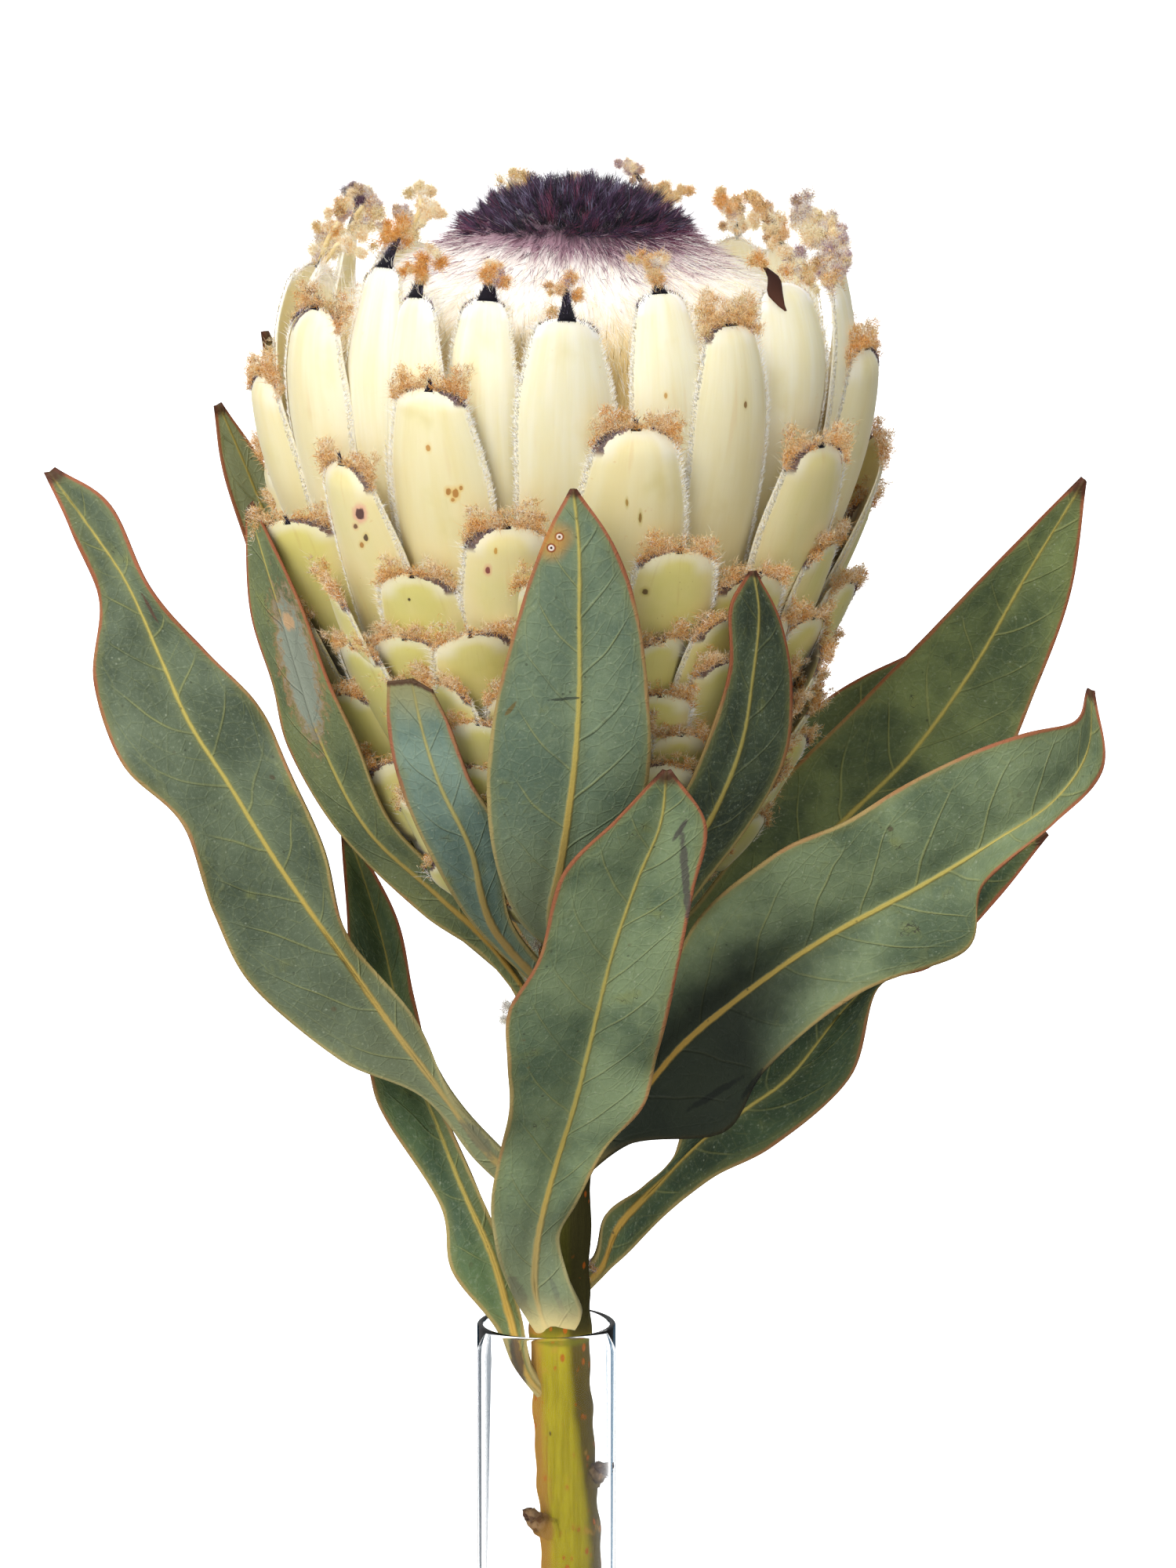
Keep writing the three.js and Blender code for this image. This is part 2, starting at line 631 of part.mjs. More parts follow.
// Lobes in even steps, whose tips stand at two heights in turn.
function alternate(count, start, step, low, high) {
  return Array.from({ length: count }, (_, k) => [start + k * step, k % 2 === 0 ? low : high]);
}

// [azimuth in degrees from the front, tip height] of each lobe of the rings of short bracts.
const SCALE_RINGS = [
  [
    [-97, 75], [-64.5, 77], [-32, 71], [-2, 71], [23, 76], [42, 70], [66, 73], [94, 77],
    ...alternate(6, 118, 24, 74, 76),
  ],
  [
    [-82, 66], [-51.5, 67.5], [-37.5, 59], [-19, 61], [1, 60], [20.5, 60], [35, 63], [48, 61], [63.5, 59.5],
    [80, 64], ...alternate(10, 98, 18, 61, 63),
  ],
  [
    [-72, 60], [-50.5, 56.5], [-39.5, 50.5], [-26.5, 52], [-9, 51], [8, 52], [20.5, 50], [36, 55], [54, 51],
    [70, 53], ...alternate(10, 88, 19, 52, 53),
  ],
  [
    [-76, 50], [-57, 47], [-38, 42], [-19, 45], [-2, 43], [14, 44], [28.5, 42], [46, 44], [64, 45], [82, 43],
    ...alternate(10, 100, 19, 43, 44),
  ],
];

// ---- the whole object ----

const head = [HEAD_X, 0, HEAD_BASE];
const FIRST_RING_LAYER = Object.keys(BRACTS).length;
addPiece("vase", vase(), GLASS);
addPiece("stem", stem(), STEM_SKIN);
for (const [name, leaf] of Object.entries(LEAVES)) addPiece(name, leafShape(leaf), LEAF_GREEN);
addPiece("flower_base", flowerBase(), SCALE_GREEN, head);
addPiece("florets", florets(), FLORET_WOOL, head);
Object.entries(BRACTS).forEach(([name, bracts], layer) => {
  bracts.forEach(([degrees, tipHeight, width], i) => {
    const geometry = bract(layer, degrees, tipHeight, width);
    addPiece(name + "_" + (i + 1), geometry, BRACT_CREAM, head);
  });
});
SCALE_RINGS.forEach((tips, i) => {
  addPiece("scale_ring_" + (i + 1), scaleRing(FIRST_RING_LAYER + i, tips), SCALE_GREEN, head);
});

export default flower;
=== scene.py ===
import math

import bmesh
import bpy
import numpy as np
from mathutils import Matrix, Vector


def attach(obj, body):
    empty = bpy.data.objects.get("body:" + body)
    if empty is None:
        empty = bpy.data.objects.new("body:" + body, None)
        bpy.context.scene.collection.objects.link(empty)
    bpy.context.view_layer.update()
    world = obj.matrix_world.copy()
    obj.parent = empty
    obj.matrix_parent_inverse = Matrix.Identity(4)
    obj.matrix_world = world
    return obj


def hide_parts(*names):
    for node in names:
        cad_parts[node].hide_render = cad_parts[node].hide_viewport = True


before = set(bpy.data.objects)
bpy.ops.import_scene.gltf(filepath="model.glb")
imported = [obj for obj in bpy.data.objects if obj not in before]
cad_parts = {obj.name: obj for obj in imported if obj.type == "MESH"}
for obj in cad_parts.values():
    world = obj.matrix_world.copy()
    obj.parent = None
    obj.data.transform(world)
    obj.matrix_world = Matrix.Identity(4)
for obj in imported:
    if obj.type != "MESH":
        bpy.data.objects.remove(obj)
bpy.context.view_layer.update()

# A cut protea with its leaves in a glass tube vase. Sizes are in millimetres until a mesh is made.
MM = 0.001
# The head's axis and the height of its base.
HEAD_X = 3.6
HEAD_BASE = 203.7
# How far apart the rows of bracts lie, and the radius of the post inside the head that they grow from.
LAYER_PITCH = 1.7
POST_RADIUS = 11.3

# ---- the camera, at the photograph's viewing angle ----

CAMERA_TARGET = (7.5, 0.0, 228.7)
CAMERA_DISTANCE = 1800.0
CAMERA_ELEVATION = math.radians(11)
CAMERA_LENS = 231.8


def add_camera():
    data = bpy.data.cameras.new("camera")
    data.sensor_fit = "VERTICAL"
    data.sensor_height = 36
    data.lens = CAMERA_LENS
    data.clip_end = 60
    camera = bpy.data.objects.new("camera", data)
    away = Vector((0, -math.cos(CAMERA_ELEVATION), math.sin(CAMERA_ELEVATION)))
    camera.location = (Vector(CAMERA_TARGET) + away * CAMERA_DISTANCE) * MM
    camera.rotation_euler = (math.pi / 2 - CAMERA_ELEVATION, 0, 0)
    bpy.context.scene.collection.objects.link(camera)
    bpy.context.scene.camera = camera


add_camera()

# ---- small sums ----


def mix(a, b, t):
    return a + (b - a) * t


def smooth(x, low, high):
    t = np.clip((np.asarray(x, float) - low) / (high - low), 0, 1)
    return t * t * (3 - 2 * t)


def unit(v):
    return v / np.maximum(np.linalg.norm(v, axis=-1, keepdims=True), 1e-9)


UP = np.array([0.0, 0.0, 1.0])


def ring_way(azimuth):
    """Level directions out from the head's axis. azimuth is 0 at the front and grows towards +X."""
    return np.stack([np.sin(azimuth), -np.cos(azimuth), np.zeros_like(azimuth)], -1)


def rgb(code):
    """A colour written as on a screen, such as e9e3b4, in the renderer's linear numbers."""
    parts = [int(code[i : i + 2], 16) / 255 for i in (0, 2, 4)]
    return tuple(c / 12.92 if c <= 0.04045 else ((c + 0.055) / 1.055) ** 2.4 for c in parts)


def curve_through(points, positions):
    """Points on a smooth curve through the given ones, at positions counted along them."""
    p = np.asarray(points, float)
    p = np.vstack([2 * p[0] - p[1], p, 2 * p[-1] - p[-2]])
    x = np.asarray(positions, float)
    i = np.clip(np.floor(x).astype(int), 0, len(p) - 4)
    t = (x - i)[:, None]
    a, b, c, d = p[i], p[i + 1], p[i + 2], p[i + 3]
    return 0.5 * (2 * b + (c - a) * t + (2 * a - 5 * b + 4 * c - d) * t**2 + (3 * b - a - 3 * c + d) * t**3)


# ---- materials, written as sums over node sockets ----


class Wire:
    """A socket's value, which can be added, multiplied and so on as a number can."""

    def __init__(self, paint, socket):
        self.paint = paint
        self.socket = socket

    def __add__(self, other):
        return self.paint.math("ADD", self, other)

    def __radd__(self, other):
        return self.paint.math("ADD", other, self)

    def __sub__(self, other):
        return self.paint.math("SUBTRACT", self, other)

    def __rsub__(self, other):
        return self.paint.math("SUBTRACT", other, self)

    def __mul__(self, other):
        return self.paint.math("MULTIPLY", self, other)

    def __rmul__(self, other):
        return self.paint.math("MULTIPLY", other, self)

    def __truediv__(self, other):
        return self.paint.math("DIVIDE", self, other)

    def __abs__(self):
        return self.paint.math("ABSOLUTE", self)


class Paint:
    """A material under construction."""

    def __init__(self, name):
        self.material = bpy.data.materials.new(name)
        self.material.use_nodes = True
        self.tree = self.material.node_tree
        self.shader = self.tree.nodes["Principled BSDF"]
        self.colour = None

    def plug(self, value, socket):
        """Gives a socket a wire, a number, a tuple or a colour written as a code."""
        if isinstance(value, str):
            value = rgb(value)
        if isinstance(value, Wire):
            self.tree.links.new(value.socket, socket)
        elif isinstance(value, tuple):
            socket.default_value = (*value, 1.0)[: len(socket.default_value)]
        else:
            socket.default_value = value

    def node(self, kind, **settings):
        node = self.tree.nodes.new(kind)
        for key, value in settings.items():
            setattr(node, key, value)
        return node

    def math(self, operation, a, b=0.0):
        node = self.node("ShaderNodeMath", operation=operation)
        self.plug(a, node.inputs[0])
        self.plug(b, node.inputs[1])
        return Wire(self, node.outputs[0])

    def ramp_up(self, value, low, high):
        """0 below low, 1 above high and smooth between them; high may be the lower one."""
        node = self.node("ShaderNodeMapRange", interpolation_type="SMOOTHSTEP")
        flip = low > high
        self.plug(value, node.inputs["Value"])
        self.plug(min(low, high), node.inputs["From Min"])
        self.plug(max(low, high), node.inputs["From Max"])
        self.plug(1.0 if flip else 0.0, node.inputs["To Min"])
        self.plug(0.0 if flip else 1.0, node.inputs["To Max"])
        return Wire(self, node.outputs["Result"])

    def mix(self, share, a, b):
        node = self.node("ShaderNodeMix", data_type="RGBA")
        self.plug(share, node.inputs["Factor"])
        self.plug(a, node.inputs[6])
        self.plug(b, node.inputs[7])
        return Wire(self, node.outputs[2])

    def over(self, share, colour):
        """Lays a colour over the material's own, as thickly as share says."""
        self.colour = self.mix(share, self.colour, colour)

    def vector(self, x, y, z):
        node = self.node("ShaderNodeCombineXYZ")
        for value, socket in zip((x, y, z), node.inputs):
            self.plug(value, socket)
        return Wire(self, node.outputs[0])

    def split(self, vector):
        node = self.node("ShaderNodeSeparateXYZ")
        self.plug(vector, node.inputs[0])
        return [Wire(self, out) for out in node.outputs]

    def marks(self, name):
        node = self.node("ShaderNodeAttribute", attribute_name=name)
        return self.split(Wire(self, node.outputs["Vector"]))

    def chart(self):
        node = self.node("ShaderNodeUVMap", uv_map="OFBake")
        return self.split(Wire(self, node.outputs[0]))

    def place(self):
        """The point itself, in millimetres."""
        node = self.node("ShaderNodeTexCoord")
        scale = self.node("ShaderNodeVectorMath", operation="SCALE")
        self.tree.links.new(node.outputs["Object"], scale.inputs[0])
        scale.inputs["Scale"].default_value = 1 / MM
        return Wire(self, scale.outputs[0])

    def noise(self, where, size, detail=2.0, roughness=0.5):
        """Soft noise from 0 to 1 whose lumps are about size across."""
        node = self.node("ShaderNodeTexNoise")
        self.plug(where, node.inputs["Vector"])
        self.plug(1 / size, node.inputs["Scale"])
        self.plug(detail, node.inputs["Detail"])
        self.plug(roughness, node.inputs["Roughness"])
        return Wire(self, node.outputs["Fac"])

    def cells(self, where, size, feature="F1"):
        """Distance to the nearest cell point or cell edge, in the same unit as where."""
        node = self.node("ShaderNodeTexVoronoi", feature=feature)
        self.plug(where, node.inputs["Vector"])
        self.plug(1 / size, node.inputs["Scale"])
        return Wire(self, node.outputs["Distance"]) * size

    def steps(self, value, colours):
        """One colour after another, in equal steps of value from 0 to 1."""
        node = self.node("ShaderNodeValToRGB")
        node.color_ramp.interpolation = "CONSTANT"
        stops = node.color_ramp.elements
        stops[0].color = (*colours[0], 1)
        stops[1].position = 1 / len(colours)
        stops[1].color = (*colours[1], 1)
        for k in range(2, len(colours)):
            stops.new(k / len(colours)).color = (*colours[k], 1)
        self.plug(value, node.inputs[0])
        return Wire(self, node.outputs["Color"])

    def nearness(self, reach):
        """Ambient occlusion, used for painting shade: 0 in the open and 1 deep in a gap; reach is how far off,
        in millimetres, a neighbour counts.
        """
        node = self.node("ShaderNodeAmbientOcclusion", samples=6)
        node.inputs["Distance"].default_value = reach * MM
        return 1.0 - Wire(self, node.outputs["AO"])

    def bump(self, height, strength):
        """Height is in millimetres."""
        node = self.node("ShaderNodeBump")
        node.inputs["Distance"].default_value = MM
        node.inputs["Strength"].default_value = strength
        self.plug(height, node.inputs["Height"])
        return Wire(self, node.outputs[0])

    def finish(self, colour, roughness, normal=None, **sockets):
        self.plug(colour, self.shader.inputs["Base Color"])
        self.plug(roughness, self.shader.inputs["Roughness"])
        if normal is not None:
            self.tree.links.new(normal.socket, self.shader.inputs["Normal"])
        for key, value in sockets.items():
            self.shader.inputs[key.replace("_", " ")].default_value = value
        return self.material


# ---- meshes ----


class Shape:
    """Points in millimetres, faces, each face corner's place on the bake chart, and two marks per point."""

    def __init__(self):
        self.points, self.marks, self.faces, self.charts = [], [], [], []
        self.count = 0

    def add(self, points, groups, marks=None):
        """groups holds pairs: faces as an array of point numbers, and their corners' chart places."""
        points = np.asarray(points, float).reshape(-1, 3)
        if marks is None:
            marks = np.zeros((len(points), 6))
        self.points.append(points)
        self.marks.append(np.asarray(marks, float).reshape(-1, 6))
        for faces, chart in groups:
            self.faces.append(faces + self.count)
            self.charts.append(chart)
        self.count += len(points)

    def piece(self, name, material, slot_name, replaced=None):
        mesh = bpy.data.meshes.new(name)
        points = np.concatenate(self.points) * MM
        mesh.vertices.add(len(points))
        mesh.vertices.foreach_set("co", points.astype(np.float32).ravel())
        corners = np.concatenate([f.ravel() for f in self.faces])
        sizes = np.concatenate([np.full(len(f), f.shape[1]) for f in self.faces])
        mesh.loops.add(len(corners))
        mesh.loops.foreach_set("vertex_index", corners.astype(np.int32))
        mesh.polygons.add(len(sizes))
        mesh.polygons.foreach_set("loop_start", np.concatenate([[0], np.cumsum(sizes)[:-1]]).astype(np.int32))
        chart = mesh.uv_layers.new(name="OFBake")
        chart.uv.foreach_set("vector", np.concatenate([c.reshape(-1) for c in self.charts]).astype(np.float32))
        marks = np.concatenate(self.marks)
        for k, mark in enumerate(("mark_a", "mark_b")):
            layer = mesh.attributes.new(mark, "FLOAT_VECTOR", "POINT")
            layer.data.foreach_set("vector", marks[:, 3 * k : 3 * k + 3].astype(np.float32).ravel())
        mesh.update(calc_edges=True)
        mesh.shade_smooth()
        mesh.materials.append(material)
        piece = bpy.data.objects.new(name, mesh)
        bpy.context.scene.collection.objects.link(piece)
        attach(piece, "root")
        if replaced:
            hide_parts(replaced)
        return piece


WHOLE_CHART = (0.0, 0.0, 1.0, 1.0)


def sheet(shape, front, back, marks_front, marks_back, cell=WHOLE_CHART):
    """A thin closed body between two grids of points, with a chart for each side in its cell."""
    rows, columns = front.shape[:2]
    f = np.arange(rows * columns).reshape(rows, columns)
    b = f + rows * columns
    x0, y0, x1, y1 = cell
    u = np.linspace(0, 1, columns)[None, :].repeat(rows, 0)
    v = np.linspace(0, 1, rows)[:, None].repeat(columns, 1)
    half = (x1 - x0) / 2
    inset = 0.04
    cu = x0 + half * (inset + (1 - 2 * inset) * u)
    cv = y0 + (y1 - y0) * (inset + (1 - 2 * inset) * v)
    left, right = np.stack([cu, cv], -1), np.stack([cu + half, cv], -1)
    places = np.concatenate([left.reshape(-1, 2), right.reshape(-1, 2)])
    aside = np.array([half * inset * 0.6, 0.0])
    upward = np.array([0.0, (y1 - y0) * inset * 0.6])

    def quads(a, b2, c, d):
        return np.stack([k.ravel() for k in (a, b2, c, d)], -1)

    groups = []
    for faces in (
        quads(f[:-1, :-1], f[:-1, 1:], f[1:, 1:], f[1:, :-1]),
        quads(b[:-1, :-1], b[1:, :-1], b[1:, 1:], b[:-1, 1:]),
    ):
        groups.append((faces, places[faces]))
    rims = (
        (quads(f[:-1, 0], f[1:, 0], b[1:, 0], b[:-1, 0]), (0, 1, 1, 0), (0, 1, 2, 3), -aside),
        (quads(f[:-1, -1], b[:-1, -1], b[1:, -1], f[1:, -1]), (0, 0, 3, 3), (0, 3), aside),
        (quads(f[0, :-1], b[0, :-1], b[0, 1:], f[0, 1:]), (0, 0, 3, 3), (0, 3), -upward),
        (quads(f[-1, :-1], f[-1, 1:], b[-1, 1:], b[-1, :-1]), (0, 1, 1, 0), (0, 1), upward),
    )
    for faces, source, near, shift in rims:
        chart = np.stack([places[faces[:, k]] for k in source], 1)
        for corner in range(4):
            if corner not in near[:2]:
                chart[:, corner] += shift
        groups.append((faces, chart))
    points = np.concatenate([front.reshape(-1, 3), back.reshape(-1, 3)])
    marks = np.concatenate([marks_front.reshape(-1, 6), marks_back.reshape(-1, 6)])
    shape.add(points, groups, marks)


def between_rings(n, sides, cell, inset=0.0):
    """The faces between n rings of points, and their places in the chart's cell."""
    i = np.arange(n - 1)[:, None]
    k = np.arange(sides)[None, :]
    k2 = (k + 1) % sides
    faces = np.stack([i * sides + k, i * sides + k2, (i + 1) * sides + k2, (i + 1) * sides + k], -1)
    x0, y0, x1, y1 = cell
    cx = x0 + (x1 - x0) * np.stack([k, k + 1, k + 1, k], -1).repeat(n - 1, 0) / sides
    rise = np.stack([i, i, i + 1, i + 1], -1).repeat(sides, 1) / (n - 1)
    cy = y0 + (y1 - y0) * (inset + (1 - 2 * inset) * rise)
    return faces.reshape(-1, 4), np.stack([cx, cy], -1).reshape(-1, 4, 2)


def tube(shape, centres, radii, sides, marks=None, cell=WHOLE_CHART, wobble=None, squash=None):
    """A closed round rod through centres. wobble(turn, i) gives each ring's radius factor."""
    centres = np.asarray(centres, float)
    n = len(centres)
    along = unit(np.gradient(centres, axis=0))
    across = unit(np.cross(np.array([0.0, 1.0, 0.0]), along))
    upright = np.cross(along, across)
    turn = np.linspace(0, 2 * np.pi, sides, endpoint=False)
    radius = np.asarray(radii, float)[:, None] * np.ones(sides)
    if wobble is not None:
        radius = radius * wobble(turn[None, :], np.arange(n)[:, None])
    if squash is not None:
        across, upright = (np.broadcast_to(axis, centres.shape) for axis in squash)
    ring = np.cos(turn)[None, :, None] * across[:, None] + np.sin(turn)[None, :, None] * upright[:, None]
    points = (centres[:, None] + radius[..., None] * ring).reshape(-1, 3)
    points = np.vstack([points, centres[0], centres[-1]])
    faces, chart = between_rings(n, sides, cell, 0.02)
    x0, y0, x1, y1 = cell
    k = np.arange(sides)
    k2 = (k + 1) % sides
    low = np.stack([np.full(sides, n * sides), k2, k], -1)
    high = np.stack([np.full(sides, n * sides + 1), (n - 1) * sides + k, (n - 1) * sides + k2], -1)
    cap_x = x0 + (x1 - x0) * np.stack([k + 0.5, k + 1, k], -1) / sides
    low_y = y0 + (y1 - y0) * np.array([0.0, 0.018, 0.018])[None].repeat(sides, 0)
    high_y = y0 + (y1 - y0) * np.array([1.0, 0.982, 0.982])[None].repeat(sides, 0)
    groups = [
        (faces, chart),
        (low, np.stack([cap_x, low_y], -1)),
        (high, np.stack([cap_x[:, [0, 2, 1]], high_y], -1)),
    ]
    if marks is None:
        marks = np.zeros((n, sides, 6))
    ends = np.stack([marks[0, 0], marks[-1, 0]])
    shape.add(points, groups, np.vstack([marks.reshape(-1, 6), ends]))


# ---- fine hairs ----

# Each hair tone as its colour at the root and at the tip.
HAIR = {
    "straw": ("c8aa62", "f5e6ba"),
    "tan": ("c4883c", "f8cc84"),
    "pale_tan": ("dcb06c", "fde8c0"),
    "orange": ("c87a28", "f6b65c"),
    "bright": ("c67c26", "f3ba62"),
    "brown": ("6b4424", "b08050"),
    "pink_tan": ("cc9c6c", "f4d8b0"),
    "black": ("0d0a12", "1f1a26"),
    "plum": ("1a0c1e", "4a324e"),
    # steel, a grey-violet, is partly grey hair and partly painted sheen: on the dark styles its pale tips
    # stand for their sheen.
    "steel": ("2a2438", "857e98"),
    "mauve": ("8f6c80", "c2a4b0"),
    "rose": ("d2b4b6", "f0e0dc"),
    "white": ("f6f3ea", "fdfcf8"),
    "cream": ("efe4b8", "faf4da"),
    "wool": ("d8cdbc", "f3eee6"),
    "wine": ("340e1f", "7a4058"),
    "silk": ("d8bf84", "efe0b4"),
    "umber": ("2c1712", "5e3a2c"),
}
TONES = {name: k for k, name in enumerate(HAIR)}
# Sides of each strand, and the radians that a curled one winds along its length.
STRAND_SIDES = 3
CURL_TURN = 5.0


def hair_paint():
    paint = Paint("hair")
    tone, along, _ = paint.chart()
    roots = paint.steps(tone, [rgb(root) for root, _ in HAIR.values()])
    tips = paint.steps(tone, [rgb(tip) for _, tip in HAIR.values()])
    colour = paint.mix(paint.ramp_up(along, 0.0, 0.75), roots, tips)
    return paint.finish(colour, 0.75, Sheen_Weight=0.1, Sheen_Roughness=0.4, Specular_IOR_Level=0.15)


def copies(faces, first, x, y):
    """The same faces once for each copy's first point, with their chart places."""
    corners = faces.shape[1]
    return (first + faces[None]).reshape(-1, corners), np.stack([x, y], -1).reshape(-1, corners, 2)


def tone_cell(tone, low, high):
    """The part of the chart that gives a solid body one hair tone."""
    x = (TONES[tone] + 0.25) / len(HAIR)
    return x, low, x + 0.5 / len(HAIR), high


class Fur:
    """Hairs gathered from many calls and made into one mesh of tapered strands."""

    def __init__(self, seed):
        self.rng = np.random.default_rng(seed)
        self.shape = Shape()

    def add(self, roots, directions, lengths, widths, bends, tones, segments=2, curl=0.0):
        """bends is how far each tip is carried off its straight line, as a share of its length."""
        n, sides = len(roots), STRAND_SIDES
        d = unit(directions)
        side = unit(np.cross(d, unit(self.scatter(n))))
        other = np.cross(d, side)
        lengths = np.broadcast_to(lengths, (n,))[:, None]
        widths = np.broadcast_to(widths, (n,))[:, None]
        turn = np.arange(sides) * 2 * np.pi / sides
        start = self.rng.uniform(0, 2 * np.pi, (n, 1))
        rows = []
        for i in range(segments):
            t = i / segments
            centre = roots + d * lengths * t + bends * lengths * t * t
            swing = CURL_TURN * t + start
            loop = (np.sin(swing) - np.sin(start)) * side + (np.cos(swing) - np.cos(start)) * other
            centre = centre + curl * lengths * loop
            radius = widths / 2 * (1 - t) ** 0.7
            for angle in turn:
                rows.append(centre + radius * (math.cos(angle) * side + math.sin(angle) * other))
        rows.append(roots + d * lengths + bends * lengths)
        points = np.stack(rows, 1)
        per = segments * sides + 1
        quads, quad_chart, tris, tri_chart = [], [], [], []
        for i in range(segments - 1):
            for k in range(sides):
                k2 = (k + 1) % sides
                quads.append([i * sides + k, i * sides + k2, (i + 1) * sides + k2, (i + 1) * sides + k])
                quad_chart.append([(0, i), (1, i), (1, i + 1), (0, i + 1)])
        last = (segments - 1) * sides
        for k in range(sides):
            tris.append([last + k, last + (k + 1) % sides, per - 1])
            tri_chart.append([(0, segments - 1), (1, segments - 1), (0.5, segments)])
        for k in range(1, sides - 1):
            tris.append([0, k + 1, k])
            tri_chart.append([(0, 0), (1, 0.1), (0.5, 0.2)])
        first = np.arange(n)[:, None, None] * per
        low = (np.broadcast_to(tones, (n,)) + 0.25) / len(HAIR)
        groups = []
        for faces, chart in ((quads, quad_chart), (tris, tri_chart)):
            chart = np.array(chart, float)
            x = low[:, None, None] + chart[None, ..., 0] * 0.5 / len(HAIR)
            y = np.broadcast_to(chart[None, ..., 1] / segments, x.shape) * 0.98 + 0.01
            groups.append(copies(np.array(faces), first, x, y))
        self.shape.add(points, groups)

    def scatter(self, n, by=1.0):
        """Random steps of about by in each direction."""
        return self.rng.normal(size=(n, 3)) * by

    def tones(self, n, **shares):
        names = list(shares)
        odds = np.array([shares[k] for k in names], float)
        return np.array([TONES[k] for k in names])[self.rng.choice(len(names), n, p=odds / odds.sum())]

    def piece(self, name):
        piece = self.shape.piece(name, HAIR_PAINT, "floret_wool")
        piece.visible_shadow = False


HAIR_PAINT = hair_paint()

# ---- the flower head's surfaces ----

# The innermost bracts' middle surface, as radius and height above the head's base.
HEAD_PROFILE = [(12, 24), (23, 33), (37, 56), (47, 83), (49.5, 103), (46.5, 118), (43, 129)]


class Layer:
    """One layer of the head: its profile as radius, height and outward direction by distance along it."""

    def __init__(self, offset):
        last = len(HEAD_PROFILE) - 1
        t = np.linspace(-1.0, last + 0.8, 700)
        inside = curve_through(HEAD_PROFILE, np.clip(t, 0, last))
        start = curve_through(HEAD_PROFILE, [0, 0.01])
        end = curve_through(HEAD_PROFILE, [last - 0.01, last])
        inside += np.minimum(t, 0)[:, None] * (start[1] - start[0]) * 100
        inside += np.maximum(t - last, 0)[:, None] * (end[1] - end[0]) * 100
        slope = unit(np.gradient(inside, axis=0))
        self.out = np.stack([slope[:, 1], -slope[:, 0]], -1)
        line = inside + self.out * offset
        self.line = line
        self.along = np.concatenate([[0], np.cumsum(np.linalg.norm(np.diff(line, axis=0), axis=1))])

    def at_height(self, height):
        return np.interp(height, self.line[:, 1], self.along)

    def at_radius(self, radius):
        return np.interp(radius, self.line[:200, 0], self.along[:200])

    def place(self, azimuth, along, lift):
        """Points on the head, in millimetres. azimuth is 0 at the front and grows towards +X."""
        r = np.interp(along, self.along, self.line[:, 0]) + np.interp(along, self.along, self.out[:, 0]) * lift
        h = np.interp(along, self.along, self.line[:, 1]) + np.interp(along, self.along, self.out[:, 1]) * lift
        return np.stack([HEAD_X + r * np.sin(azimuth), -r * np.cos(azimuth), HEAD_BASE + h], -1)

    def radius(self, along):
        return np.interp(along, self.along, self.line[:, 0])


